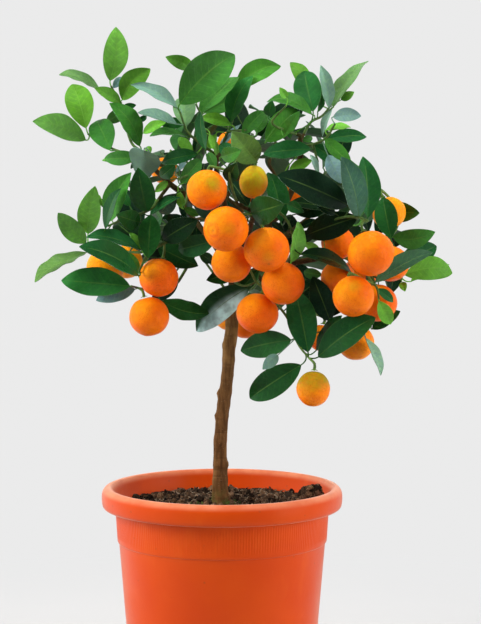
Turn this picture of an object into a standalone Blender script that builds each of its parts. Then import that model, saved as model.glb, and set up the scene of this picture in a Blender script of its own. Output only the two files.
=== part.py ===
"""Potted orange tree: a small grafted citrus with a round crown, in a round plastic pot.

Metres, +Z up. The origin is the middle of the pot's underside, and -Y is the front.
"""

import math
import random
from collections import namedtuple

import bmesh
import bpy
from mathutils import Quaternion, Vector
from mathutils.bvhtree import BVHTree

MM = 0.001
SEED = 7
GAP = 0.3 * MM

# Pot
POT_HEIGHT = 175 * MM
LIP_RADIUS = 100 * MM
CREST_RADIUS = 94 * MM
LIP_DROP = 17.5 * MM
COLLAR_RADIUS = 88.6 * MM
STEP_HEIGHT = 129.5 * MM
STEP_DEPTH = 1.3 * MM
BODY_TOP_RADIUS = 85.8 * MM
BASE_RADIUS = 75 * MM
POT_WALL = 2.6 * MM
POT_FLOOR = 3 * MM
POT_SIDES = 32
DRAIN_COUNT = 5
DRAIN_RADIUS = 5.5 * MM
DRAIN_RING = 46 * MM

# Soil
SOIL_DEPTH = 16 * MM
SOIL_SIDES = 24
SOIL_RELIEF = 1.5 * MM
HEAP_PLACE = (74 * MM, -3 * MM)
HEAP_HEIGHT = 12 * MM
HEAP_SPREAD = 13 * MM
HOLE_RADIUS = 8.6 * MM
HOLE_DEPTH = 45 * MM

# Front view: the crown is laid out in pixels of a 481 x 624 view of the tree, each with a
# depth in millimetres behind the plane of the trunk.
EYE = Vector((0.0153, -1.65, 0.443))
PITCH = math.radians(4.26)
FOCAL_PX = 2000
MIDDLE_PX = (240.5, 312)
CROWN_MIDDLE = Vector((0.018, 0.0, 0.405))

# Leaves
LEAF_RATIO = 0.46
BLADE_THICKNESS = 0.9 * MM
PETIOLE_WIDTH = 1.5 * MM
FOLD = 0.13
ARCH = 0.05
CLEARANCE = 0.45 * MM
PETIOLE_LENGTH = 5 * MM
LARGE_LEAF = 62 * MM
SMALL_LEAF = 33 * MM
LEAN_RANGE = (6, 36)
LEAST_SHOWN = 1 / 2.2
MOST_TURNED = 3
GOLDEN = 0.618
OUTWARD = 0.6
SLIDES = range(-24, 25, 2)
TWISTS = (0, 0.25, -0.25, 0.5, -0.5, 0.8, -0.8)

# Wood: radii at the start and end of each twig and branchlet
TWIG_RADII = (1.3 * MM, 0.8 * MM)
BRANCHLET_RADII = (1.7 * MM, 1.3 * MM)
TWIG_STEP = 20 * MM
BOUGH_STEP = 26 * MM
MOST_PUSH = 1.5 * MM
LEAST_SHARE = 0.15
ROOT_INSET = 2.5 * MM
FRUIT_MARGIN = 1.2 * MM
STEM_MARGIN = 0.8 * MM
EASING_ROUNDS = 80
SAMPLES = 4
ROOT_SPOTS = 5
LONG_BRANCHLET_RISE = 3 * MM

# Fruits
FRUIT_GAP = 0.7 * MM
NECK_LENGTH = 5 * MM
STALK_RADIUS = 0.85 * MM
CALYX_RADIUS = 2.6 * MM

Leaf = namedtuple("Leaf", "u0 v0 u1 v1 width tone depth lean roll side bow")
Blade = namedtuple("Blade", "root base along across up length width arch bow tone")


def leaf(u0, v0, u1, v1, width, tone, depth=0, lean=0, roll=0, side=1, bow=(0, 0)):
    """A leaf from its base pixel to its tip pixel, with its width as seen. lean -1 brings its
    tip nearer and 1 takes it away, roll picks the way it turns, side -1 shows the underside,
    and bow is how far its middle bends off the straight line, in pixels."""
    if lean == 0:
        lean = -1 if (u0 + v1) % 2 else 1
    return Leaf(u0, v0, u1, v1, width, tone, depth, lean, roll, side, bow)


# Oranges: pixel of the middle, radius in pixels, depth, and where the calyx points (x, y, z)
FRUITS = {
    "orange_01": (207, 190, 20.4, -85, (0.1, 0.5, 0.9)),
    "orange_02": (253.5, 182, 16.2, -60, (0.1, 0.5, 0.9)),
    "orange_03": (226, 229, 22.9, -97, (0.3, 0.9, 0.5)),
    "orange_04": (266.6, 249.5, 23.3, -104, (-0.1, 0.8, 0.7)),
    "orange_05": (231.5, 263, 20.3, -66, (0.1, 0.5, 0.9)),
    "orange_06": (283, 283.5, 22, -84, (0.2, 0.7, 0.8)),
    "orange_07": (257.4, 313.5, 21.3, -58, (0.2, 0.4, 0.9)),
    "orange_08": (158.8, 277.6, 19.8, -56, (0.2, 0.3, 0.95)),
    "orange_09": (149.2, 316.6, 20.2, -54, (-0.25, 0.1, 0.95)),
    "orange_10": (105, 268, 19, 8, (0.5, 0.1, 0.85)),
    "orange_11": (126, 262, 17, 42, (0.4, 0.1, 0.9)),
    "orange_12": (313.3, 388.8, 18.4, -80, (0.05, 0.05, 1)),
    "orange_13": (370.8, 253.5, 23.6, -92, (-0.3, 0.25, 0.92)),
    "orange_14": (338, 243, 17, -42, (0.2, 0.5, 0.85)),
    "orange_15": (389.2, 213, 17, 2, (-0.4, -0.1, 0.9)),
    "orange_16": (391, 264, 18.5, -44, (-0.2, 0.3, 0.93)),
    "orange_17": (353.4, 296.3, 21, -86, (-0.1, 0.6, 0.8)),
    "orange_18": (338, 278, 17.5, -44, (0.1, 0.4, 0.9)),
    "orange_19": (378.3, 303, 19, -46, (-0.2, 0.3, 0.93)),
    "orange_20": (356, 342.6, 18.4, -22, (0, 0.2, 0.98)),
    "orange_21": (229, 316, 15, 62, (0, 0.1, 1)),
    "orange_22": (246, 322, 17, 22, (0, 0.2, 0.98)),
    "orange_23": (296, 194, 13, 55, (-0.3, 0, 0.95)),
    "orange_24": (322, 338, 14, 12, (0.1, 0.1, 1)),
    "orange_25": (165, 171, 14, 72, (0.3, 0, 0.95)),
    "orange_26": (230, 144, 13, 66, (0, 0, 1)),
    "orange_27": (238, 250, 17, 118, (0, -0.2, 0.98)),
    "orange_28": (362, 272, 18, 78, (-0.3, -0.1, 0.95)),
    "orange_29": (252, 186, 17, 110, (0, -0.2, 0.98)),
}

# Boughs: pixels with a depth, from the trunk outwards, and the radius at each end in mm
TRUNK_PATH = [
    (221, 530, 0), (221, 503, 0), (220, 492, 0), (220.2, 474, 0), (220.2, 457, 0),
    (220.5, 440, 0), (222.3, 416, 0), (224.3, 400, 0), (226.6, 383, 0), (228.3, 366, 0),
    (229, 350, 0), (231.5, 330, 0), (232, 309, 2), (233, 288, 4),
]
TRUNK_RADII = [7.0, 7.4, 6.8, 6.0, 5.6, 5.4, 5.2, 5.2, 5.1, 5.0, 5.2, 5.4, 5.6, 5.2]
BOUGHS = {
    "leader": ([(233, 290, 4), (236, 262, 10), (232, 236, 8), (225, 208, 2), (218, 180, -4),
                (216, 160, -8)], 4.6, 2.0),
    "left": ([(233, 252, 9), (222, 228, 0), (203, 210, -10), (185, 195, -18), (170, 184, -22),
              (153, 168, -22)], 3.6, 1.9),
    "right": ([(234, 276, 8), (252, 246, 8), (275, 218, 4), (292, 190, -4), (300, 160, -10),
               (300, 138, -14)], 3.8, 2.0),
    "right_low": ([(234, 284, 5), (262, 268, -2), (298, 262, -10), (322, 258, -12),
                   (342, 257, -16)], 3.4, 2.0),
    "front": ([(235, 268, 8), (246, 240, -20), (252, 220, -38), (254, 206, -52)], 2.8, 1.9),
    "left_low": ([(233, 282, 5), (212, 262, -8), (194, 246, -26), (180, 238, -40)], 3.0, 1.9),
    "back_left": ([(233, 272, 8), (214, 244, 30), (196, 222, 52), (184, 206, 66)], 3.2, 1.8),
    "back_right": ([(235, 280, 6), (262, 252, 34), (290, 232, 56), (308, 222, 70)], 3.2, 1.8),
    "back": ([(235, 258, 10), (240, 226, 36), (242, 200, 58), (243, 184, 66)], 3.0, 1.8),
}

# Leafy stems, with their twigs as pixels and depths, the fruits that hang on them, and their
# leaves with the front-most first
STEMS = {
    "stem_top_left": dict(
        twigs=[[(147, 158, -20), (143, 152, -16), (133, 145, -10), (127, 130, -4), (121, 105, 4),
                (111, 86, 10)]],
        fruits=[],
        leaves=[
            leaf(110, 81, 116, 27, 25, "light", bow=(4, 0)),
            leaf(122, 100, 150, 69, 22, "mid", bow=(-3, -4)),
            leaf(100, 88, 60, 71, 10, "light", roll=-1, bow=(0, -1)),
            leaf(121, 102, 95, 88, 12, "mid"),
            leaf(140, 146, 111, 103, 20, "mid", -4, bow=(3, -2)),
            leaf(143, 133, 165, 122, 10, "light"),
            leaf(128, 108, 106, 122, 13, "mid", 6),
        ],
    ),
    "stem_far_left": dict(
        twigs=[[(158, 164, -32), (138, 156, -26), (113, 149, -14), (88, 134, 0)]],
        fruits=[],
        leaves=[
            leaf(144, 150, 141, 178, 34, "grey", -12, side=-1),
            leaf(110, 150, 96, 120, 26, "light", -4),
            leaf(87, 128, 74, 84, 28, "light", bow=(2, 0)),
            leaf(86, 138, 33, 119, 15, "light", roll=-1, bow=(1, -4)),
            leaf(138, 157, 104, 158, 15, "mid", bow=(0, 2)),
        ],
    ),
    "stem_left_mid": dict(
        twigs=[[(158, 200, -44), (152, 208, -52), (140, 214, -56), (124, 219, -56), (108, 226, -50)]],
        fruits=[],
        leaves=[
            leaf(108, 222, 130, 173, 22, "fresh", -4, bow=(-2, -1)),
            leaf(147, 212, 138, 168, 25, "dark", -2),
            leaf(150, 215, 180, 196, 9, "dark"),
            leaf(140, 222, 117, 215, 20, "dark"),
            leaf(105, 229, 119, 188, 11, "dark", -12),
            leaf(130, 206, 120, 190, 10, "dark", 8),
        ],
    ),
    "stem_left_low": dict(
        twigs=[[(174, 238, -48), (162, 244, -56), (144, 252, -60), (114, 250, -44), (88, 243, -26)],
               [(150, 250, -60), (139, 272, -66)]],
        fruits=["orange_08", "orange_10"],
        leaves=[
            leaf(139, 275, 80, 246, 22, "dark", -6),
            leaf(148, 258, 151, 214, 23, "dark", -6),
            leaf(140, 249, 87, 235, 18, "dark", -4),
            leaf(157, 246, 198, 266, 22, "dark", 22),
            leaf(160, 242, 181, 236, 14, "dark"),
            leaf(163, 240, 197, 220, 24, "deep", 10),
            leaf(138, 275, 126, 251, 14, "mid", 4),
            leaf(88, 234, 95, 187, 23, "light", bow=(-2, 0)),
            leaf(86, 243, 58, 213, 20, "light", bow=(-1, 1)),
            leaf(86, 252, 34, 279, 13, "light", roll=-1),
        ],
    ),
    "stem_left_bottom": dict(
        twigs=[[(190, 262, -24), (176, 284, -26), (160, 292, -28), (143, 289, -40), (131, 286, -54)]],
        fruits=["orange_09"],
        leaves=[
            leaf(130, 286, 61, 280, 29, "dark", -4, bow=(0, 2)),
            leaf(162, 299, 209, 311, 20, "dark", bow=(0, 6)),
            leaf(135, 289, 96, 300, 18, "grey", 4),
            leaf(178, 282, 152, 300, 16, "deep", 6),
        ],
    ),
    "stem_top": dict(
        twigs=[[(212, 152, -12), (200, 143, -18), (187, 131, -24), (180, 112, -28)],
               [(196, 140, -20), (203, 122, -14), (196, 104, -8)]],
        fruits=[],
        leaves=[
            leaf(180, 104, 235, 54, 40, "mid", -6, bow=(-4, -3)),
            leaf(177, 105, 131, 80, 13, "grey", -2, roll=-1, bow=(-1, 0)),
            leaf(186, 127, 184, 96, 23, "light", -4),
            leaf(177, 124, 138, 112, 10, "grey", roll=-1),
            leaf(193, 153, 178, 137, 11, "light", -2),
            leaf(199, 114, 238, 75, 18, "mid", 8),
            leaf(194, 68, 166, 57, 14, "light", 14, bow=(0, -1)),
            leaf(186, 122, 160, 124, 12, "dark", 8),
        ],
    ),
    "stem_top_mid": dict(
        twigs=[[(220, 152, 2), (226, 136, 8), (232, 122, 12), (238, 100, 18)],
               [(228, 132, 10), (246, 130, -6)]],
        fruits=[],
        leaves=[
            leaf(236, 89, 281, 66, 23, "mid", 0, bow=(-1, -3)),
            leaf(231, 122, 252, 75, 20, "dark", -4, bow=(-4, -1)),
            leaf(231, 125, 200, 117, 12, "light", -6),
            leaf(242, 134, 265, 110, 15, "mid", -4),
            leaf(257, 133, 261, 111, 16, "mid"),
            leaf(204, 113, 242, 94, 19, "mid", -4),
        ],
    ),
    "stem_front": dict(
        twigs=[[(236, 200, -62), (232, 188, -74), (230, 171, -80), (240, 159, -78), (254, 160, -66)]],
        fruits=["orange_01", "orange_02"],
        leaves=[
            leaf(257, 162, 232, 132, 28, "light", -4),
            leaf(221, 157, 241, 150, 16, "mid"),
            leaf(228, 182, 236, 163, 16, "dark"),
            leaf(216, 167, 208, 152, 10, "mid"),
            leaf(205, 150, 200, 112, 11, "dark", 8),
        ],
    ),
    "stem_right_top_left": dict(
        twigs=[[(296, 134, -22), (284, 130, -32), (272, 122, -40), (286, 106, -46)]],
        fruits=[],
        leaves=[
            leaf(312, 114, 267, 100, 13, "grey", -4, roll=-1, bow=(0, -4)),
            leaf(266, 142, 297, 108, 24, "mid", -2),
            leaf(268, 116, 272, 101, 12, "dark"),
            leaf(290, 138, 288, 118, 12, "dark", 4),
            leaf(285, 134, 299, 112, 12, "mid", 6),
        ],
    ),
    "stem_right_top": dict(
        twigs=[[(304, 134, -6), (311, 122, 0), (322, 116, 8), (332, 104, 20)]],
        fruits=[],
        leaves=[
            leaf(313, 111, 304, 69, 28, "dark", -6),
            leaf(333, 109, 367, 59, 15, "light", -2, roll=1, bow=(-2, -1)),
            leaf(329, 108, 321, 65, 13, "light"),
            leaf(306, 92, 290, 62, 16, "light", 8, bow=(4, -1)),
        ],
    ),
    "stem_right_top_low": dict(
        twigs=[[(304, 146, -20), (314, 144, -28), (326, 138, -34), (335, 124, -34)],
               [(312, 148, -28), (318, 162, -32)]],
        fruits=[],
        leaves=[
            leaf(328, 155, 341, 183, 17, "grey", -6),
            leaf(325, 138, 351, 162, 14, "mid", -4, bow=(-2, 2)),
            leaf(328, 139, 367, 136, 14, "dark", -2),
            leaf(313, 145, 337, 161, 15, "dark", 4),
            leaf(333, 117, 361, 116, 14, "grey", bow=(0, -2)),
            leaf(311, 149, 263, 153, 18, "dark", -2),
            leaf(289, 171, 312, 160, 11, "light", 2),
        ],
    ),
    "stem_right_mid": dict(
        twigs=[[(318, 226, -50), (340, 218, -66), (358, 217, -82), (368, 221, -88)]],
        fruits=["orange_13", "orange_14"],
        leaves=[
            leaf(359, 218, 342, 157, 24, "gloss", -10, lean=-1),
            leaf(358, 217, 304, 236, 27, "deep", -4),
            leaf(368, 218, 364, 156, 24, "mid", 4, lean=1, bow=(-2, 0)),
            leaf(348, 205, 278, 175, 31, "deep", 6),
            leaf(361, 216, 353, 159, 14, "mid", 8),
        ],
    ),
    "stem_heart": dict(
        twigs=[[(258, 212, -58), (268, 210, -60), (280, 213, -62), (290, 226, -66), (294, 248, -70)],
               [(262, 213, -60), (252, 214, -70)]],
        fruits=["orange_03", "orange_04", "orange_06"],
        leaves=[
            leaf(291, 262, 300, 221, 14, "light", -8, roll=-1),
            leaf(251, 213, 283, 204, 29, "mid", -18),
            leaf(248, 206, 230, 180, 20, "deep", 2),
            leaf(281, 222, 269, 171, 21, "dark", 14),
            leaf(287, 204, 303, 212, 12, "dark"),
            leaf(216, 240, 177, 250, 22, "dark", 6),
            leaf(301, 254, 354, 273, 14, "deep", 2, roll=1),
            leaf(296, 214, 330, 204, 18, "deep", 8),
        ],
    ),
    "stem_right_out": dict(
        twigs=[[(358, 244, -18), (376, 238, -8), (392, 232, 4), (398, 222, 14)],
               [(388, 234, 0), (400, 258, -8)]],
        fruits=["orange_15", "orange_16"],
        leaves=[
            leaf(391, 238, 383, 197, 23, "dark", -28),
            leaf(393, 237, 435, 232, 20, "mid", -4, bow=(0, 5)),
            leaf(400, 262, 437, 246, 22, "dark", -4),
            leaf(392, 213, 418, 213, 20, "mid", 6),
            leaf(380, 226, 404, 206, 20, "deep", 14),
        ],
    ),
    "stem_right_low": dict(
        twigs=[[(354, 262, -26), (366, 272, -32), (384, 279, -34), (402, 278, -30)],
               [(366, 274, -32), (370, 300, -22), (370, 328, -22)],
               [(366, 272, -32), (371, 281, -56), (377, 288, -70), (379, 299, -70)]],
        fruits=["orange_18", "orange_19", "orange_20", "orange_17"],
        leaves=[
            leaf(375, 282, 432, 251, 17, "mid", -12, lean=-1),
            leaf(405, 275, 453, 273, 24, "mid", bow=(1, -6)),
            leaf(411, 281, 449, 263, 10, "light", 6),
            leaf(379, 301, 391, 325, 15, "light", -48, lean=1),
            leaf(377, 289, 394, 302, 9, "dark", -46, lean=1),
            leaf(372, 329, 400, 311, 14, "dark"),
            leaf(366, 338, 382, 375, 9, "light", -4, roll=1),
        ],
    ),
    "stem_bottom": dict(
        twigs=[[(262, 282, -14), (270, 298, -28), (281, 309, -44), (290, 323, -56), (298, 344, -66),
                (309, 358, -74)]],
        fruits=["orange_12", "orange_24"],
        leaves=[
            leaf(308, 352, 295, 290, 30, "dark", -6, bow=(2, 0)),
            leaf(318, 357, 375, 317, 29, "dark", -8, bow=(0, -2)),
            leaf(291, 340, 240, 351, 27, "dark", -4, bow=(1, -3)),
            leaf(302, 367, 251, 402, 29, "dark", -6),
            leaf(330, 321, 313, 277, 24, "deep", 10),
            leaf(316, 350, 340, 315, 12, "dark", 4),
            leaf(278, 355, 263, 369, 12, "grey", 4),
        ],
    ),
    "stem_under": dict(
        twigs=[[(224, 270, -14), (232, 280, -30), (244, 286, -40), (256, 282, -44)]],
        fruits=["orange_05", "orange_07"],
        leaves=[
            leaf(249, 287, 195, 331, 30, "gloss", -10, bow=(-1, -1)),
            leaf(235, 272, 207, 280, 16, "dark", -4),
            leaf(258, 270, 240, 290, 14, "dark", -10),
            leaf(212, 262, 199, 253, 11, "dark"),
        ],
    ),
    "stem_upper_left": dict(
        twigs=[[(204, 184, -12), (196, 176, -26), (186, 176, -38), (178, 180, -46)],
               [(190, 178, -34), (186, 204, -48)]],
        fruits=[],
        leaves=[
            leaf(181, 183, 201, 159, 16, "mid", -4),
            leaf(198, 154, 161, 162, 15, "dark"),
            leaf(175, 165, 160, 177, 14, "dark", -4),
            leaf(176, 194, 160, 214, 18, "deep", 6),
        ],
    ),
}

# Back of the crown: each twig's start and end in millimetres, and its fruits
BACK_STEMS = {
    "stem_back_1": ((-36, 30, 392), (-78, 54, 374), ["orange_11"]),
    "stem_back_2": ((-20, 66, 428), (-46, 104, 454), ["orange_25"]),
    "stem_back_3": ((24, 48, 444), (26, 92, 468), ["orange_29", "orange_26"]),
    "stem_back_4": ((78, 60, 424), (106, 92, 440), ["orange_23"]),
    "stem_back_5": ((80, 44, 382), (130, 66, 378), ["orange_28"]),
    "stem_back_6": ((18, 70, 396), (22, 118, 392), ["orange_27"]),
    "stem_back_7": ((-14, 44, 372), (-40, 92, 350), ["orange_21"]),
    "stem_back_8": ((46, 52, 366), (64, 100, 346), ["orange_22"]),
    "stem_back_9": ((40, 16, 446), (52, 44, 474), []),
    "stem_back_10": ((-30, 8, 420), (-52, 34, 452), []),
}
BACK_LEAVES = 8
BACK_LENGTH = (42, 58)
BACK_TRIALS = 24
BACK_TURN = 0.7
BACK_DROOP = (0.0, 0.35)
BACK_SPLAY = (68, 30)
BACK_ARCH = 5 * MM
# Where the crown is dense, as pixels of the front view: leaves at the back stay behind it
DENSE = [
    (135, 152), (178, 152), (184, 118), (200, 108), (250, 96), (310, 112), (340, 138), (372, 168), (398, 205),
    (406, 240), (402, 280), (388, 312), (350, 322), (300, 305), (270, 318), (238, 300), (214, 256),
    (172, 254), (140, 268), (112, 240), (105, 215), (122, 180),
]
# Where it is open inside that outline: left, top, right and bottom
OPENINGS = [(155, 184, 181, 213), (302, 160, 319, 176)]

TONES = {
    "deep": (0.012, 0.045, 0.016),
    "dark": (0.02, 0.09, 0.03),
    "gloss": (0.02, 0.1, 0.04),
    "back": (0.025, 0.1, 0.03),
    "mid": (0.05, 0.18, 0.04),
    "fresh": (0.04, 0.26, 0.03),
    "grey": (0.12, 0.24, 0.12),
    "light": (0.16, 0.34, 0.05),
}


def sight(u, v):
    """The sight line through a pixel of the front view."""
    right = (u - MIDDLE_PX[0]) / FOCAL_PX
    up = (MIDDLE_PX[1] - v) / FOCAL_PX
    return Vector((right, math.cos(PITCH) + up * math.sin(PITCH), up * math.cos(PITCH) - math.sin(PITCH)))


def place(u, v, depth):
    """The point behind a pixel, depth millimetres behind the trunk's plane."""
    ray = sight(u, v)
    return EYE + ray * ((depth * MM - EYE.y) / ray.y)


def pixel(point):
    """Where a point shows in the front view."""
    offset = point - EYE
    ahead = offset.y * math.cos(PITCH) - offset.z * math.sin(PITCH)
    up = offset.y * math.sin(PITCH) + offset.z * math.cos(PITCH)
    return (MIDDLE_PX[0] + FOCAL_PX * offset.x / ahead, MIDDLE_PX[1] - FOCAL_PX * up / ahead)


def pixel_size(point):
    """The size of a pixel of the front view at a point."""
    offset = point - EYE
    return (offset.y * math.cos(PITCH) - offset.z * math.sin(PITCH)) / FOCAL_PX


def inside_dense(point):
    """Whether a point shows inside the crown's dense part in the front view."""
    u, v = pixel(point)
    if any(left < u < right and top < v < bottom for left, top, right, bottom in OPENINGS):
        return False
    hit = False
    for (u0, v0), (u1, v1) in zip(DENSE, DENSE[1:] + DENSE[:1]):
        if (v0 > v) != (v1 > v) and u < u0 + (v - v0) / (v1 - v0) * (u1 - u0):
            hit = not hit
    return hit


def smooth_path(points, spacing):
    """Points about this far apart on a smooth curve through the given ones."""
    ends = [points[0] * 2 - points[1]] + list(points) + [points[-1] * 2 - points[-2]]
    path = []
    for before, start, end, after in zip(ends, ends[1:], ends[2:], ends[3:]):
        steps = max(1, round((end - start).length / spacing))
        for step in range(steps):
            t = step / steps
            path.append(0.5 * (2 * start + (end - before) * t
                               + (2 * before - 5 * start + 4 * end - after) * t ** 2
                               + (3 * start - before - 3 * end + after) * t ** 3))
    path.append(points[-1].copy())
    return path


def nearest_on(path, point):
    """The point of a path nearest to a point, with its place in the path."""
    best = None
    for index, (start, end) in enumerate(zip(path, path[1:])):
        span = end - start
        t = min(1, max(0, (point - start).dot(span) / span.length_squared))
        spot = start + span * t
        if best is None or (spot - point).length < (best[0] - point).length:
            best = (spot, index + t)
    return best


def root_on(paths, point):
    """The nearest point of some twigs, but never at the very start of one."""
    root = min((nearest_on(path, point)[0] for path in paths), key=lambda p: (p - point).length)
    for path in paths:
        if (root - path[0]).length < ROOT_INSET:
            root = path[0] + (path[1] - path[0]).normalized() * ROOT_INSET
    return root


def segment_gap(a0, a1, b0, b1):
    """The shortest line between two segments, as its two ends."""
    best = None
    for step in range(SAMPLES + 1):
        point = a0.lerp(a1, step / SAMPLES)
        span = b1 - b0
        s = min(1, max(0, (point - b0).dot(span) / max(span.length_squared, 1e-12)))
        other = b0 + span * s
        span = a1 - a0
        t = min(1, max(0, (other - a0).dot(span) / max(span.length_squared, 1e-12)))
        point = a0 + span * t
        if best is None or (point - other).length < (best[0] - best[1]).length:
            best = (point, other)
    return best


class Layout:
    """What has been placed so far: fruits, stems and blades, each kept clear of the others."""

    def __init__(self):
        self.fruits = {}
        self.stems = []
        self.solids = []

    def add_fruit(self, name, middle, radius, axis):
        ray = (middle - EYE).normalized()
        while any((middle - other).length < radius + size + FRUIT_GAP
                  for other, size, _ in self.fruits.values()):
            middle = middle + ray * MM
        self.fruits[name] = (middle, radius, Vector(axis).normalized())

    def eased(self, path, radius, node, held=1, last_held=False):
        """The path pushed clear of the fruits and of other nodes' stems. Its first points are held,
        and its last one may be."""
        path = [point.copy() for point in path]
        free = range(held, len(path) - last_held)
        obstacles = [(middle, middle, size + FRUIT_MARGIN) for middle, size, _ in self.fruits.values()]
        obstacles += [(start, end, size + STEM_MARGIN) for other, start, end, size in self.stems
                      if other != node]
        for _ in range(EASING_ROUNDS):
            moved = False
            for index in range(1, len(path)):
                for start, end, size in obstacles:
                    spot, near = segment_gap(path[index - 1], path[index], start, end)
                    away = spot - near
                    short = size + radius - away.length
                    if short <= 0:
                        continue
                    way = away.normalized() if away.length > 1e-6 else Vector((0, 1, 0))
                    push = way * min(short + 0.1 * MM, MOST_PUSH)
                    share = (spot - path[index - 1]).length / (path[index] - path[index - 1]).length
                    for end_index, part in ((index - 1, 1 - share), (index, share)):
                        if end_index in free and part > LEAST_SHARE:
                            path[end_index] += push
                            moved = True
            if not moved:
                break
        return path

    def add_stem(self, node, path, radii):
        for start, end, first, last in zip(path, path[1:], radii, radii[1:]):
            self.stems.append((node, start, end, max(first, last)))

    def add_solid(self, node, points, faces, leafy=False):
        low = [min(p[k] for p in points) for k in range(3)]
        high = [max(p[k] for p in points) for k in range(3)]
        self.solids.append((node, leafy, low, high, BVHTree.FromPolygons(points, faces)))

    def crossings(self, node, points, faces):
        """How often a trial leaf crosses other nodes, and the leaves of its own node."""
        low = [min(p[k] for p in points) for k in range(3)]
        high = [max(p[k] for p in points) for k in range(3)]
        tree = None
        others = own = 0
        for name, leafy, lo, hi, solid in self.solids:
            if (name == node and not leafy) or any(low[k] > hi[k] or high[k] < lo[k] for k in range(3)):
                continue
            tree = tree or BVHTree.FromPolygons(points, faces)
            if tree.overlap(solid):
                others += name != node
                own += name == node
        return others, own


def blade_from_pixels(spec, twigs, slide, twist):
    """The place and size of a leaf from its row of pixels, slid along its sight line."""
    guess = place(spec.u0, spec.v0, 0)
    spots = [nearest_on(path, place(spec.u0, spec.v0, nearest_on(path, guess)[0].y / MM)) for path in twigs]
    spot = min((found[0] for found in spots),
               key=lambda p: math.dist(pixel(p), (spec.u0, spec.v0)))
    depth = spot.y / MM + spec.depth + slide
    base = place(spec.u0, spec.v0, depth)
    flat_tip = place(spec.u1, spec.v1, depth)
    size = pixel_size(base)
    seen = (flat_tip - base).length
    width = spec.width * size
    length = max(seen, min(width / (LEAF_RATIO + 0.04), seen / LEAST_SHOWN))
    least = LEAN_RANGE[0] + (LEAN_RANGE[1] - LEAN_RANGE[0]) * (GOLDEN * (spec.u0 + spec.v0) % 1)
    lean = max(math.sqrt(max(0, length ** 2 - seen ** 2)), seen * math.tan(math.radians(least)))
    tip = place(spec.u1, spec.v1, depth + spec.lean * lean / MM)
    true_width = max(width, min(LEAF_RATIO * length, width * MOST_TURNED))
    roll = math.acos(min(1, width / true_width))
    along = (tip - base).normalized()
    view = EYE - base
    facing = (view - along * view.dot(along)).normalized()
    side = facing.cross(along)
    outward = (base.lerp(tip, 0.5) - CROWN_MIDDLE).normalized()
    wish = Vector((0, 0, 1)) + OUTWARD * outward
    ups = [(facing * math.cos(roll + twist * turn) + side * math.sin(turn * roll + twist)) * spec.side
           for turn in (1, -1)]
    up = ups[0] if spec.roll > 0 or (spec.roll == 0 and ups[0].dot(wish) >= ups[1].dot(wish)) else ups[1]
    up = (up - along * up.dot(along)).normalized()
    root = root_on(twigs, base - along * PETIOLE_LENGTH)
    bow = place(spec.u0 + spec.bow[0], spec.v0 + spec.bow[1], depth) - base
    across = along.cross(up)
    return Blade(root, base, along, across, up, (tip - base).length, true_width, ARCH, bow, spec.tone)


def blade_on_twig(twig, place_on, turn, length, droop, tone):
    """A leaf that grows from a twig by rule: turned about it, and leaning out."""
    index = min(len(twig) - 2, int(place_on * (len(twig) - 1)))
    root = twig[index].lerp(twig[index + 1], place_on * (len(twig) - 1) - index)
    way = (twig[index + 1] - twig[index]).normalized()
    out = way.orthogonal().normalized()
    out.rotate(Quaternion(way, turn))
    splay = math.radians(BACK_SPLAY[0] + (BACK_SPLAY[1] - BACK_SPLAY[0]) * place_on)
    along = (way * math.cos(splay) + out * math.sin(splay) - Vector((0, 0, droop))).normalized()
    wish = (way + Vector((0, 0, 1.3))).normalized()
    up = (wish - along * wish.dot(along)).normalized()
    base = root + along * (PETIOLE_LENGTH + MM)
    return Blade(root, base, along, along.cross(up), up, length, length * LEAF_RATIO, ARCH, Vector(), tone)


def half_width(t):
    """The outline of a leaf: its half width at t from base to tip, of a width of 1."""
    return 0.5 * (4 * t * (1 - t)) ** 0.8


def blade_rows(blade, spread=0.0):
    """Rows of points across a leaf from its root to its tip, each with the way up there."""
    large = blade.length > LARGE_LEAF
    stations = (0.22, 0.5, 0.8) if large else (0.32, 0.7)
    if blade.length < SMALL_LEAF:
        stations = (0.45,)
    half = PETIOLE_WIDTH / 2 + spread
    stalk = (blade.base - blade.root).normalized()
    turn = blade.along.rotation_difference(stalk)
    rows = []
    joints = [(blade.root, 1.0), (blade.base, 0.5)]
    for middle, share in joints[:1] if blade.tone == "back" else joints:
        part = Quaternion().slerp(turn, share)
        across = part @ blade.across
        rows.append(([middle - across * half, middle + across * half], part @ blade.up))
    for t in stations:
        bend = (blade.up * blade.arch * blade.length + blade.bow) * 4 * t * (1 - t)
        middle = blade.base + blade.along * blade.length * t + bend
        reach = half_width(t) * blade.width + spread
        edge = blade.up * FOLD * reach
        row = [middle - blade.across * reach + edge, middle + blade.across * reach + edge]
        if large:
            row.insert(1, middle)
        rows.append((row, blade.up))
    tip = blade.base + blade.along * (blade.length + spread)
    rows.append(([tip], blade.up))
    return rows


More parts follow.
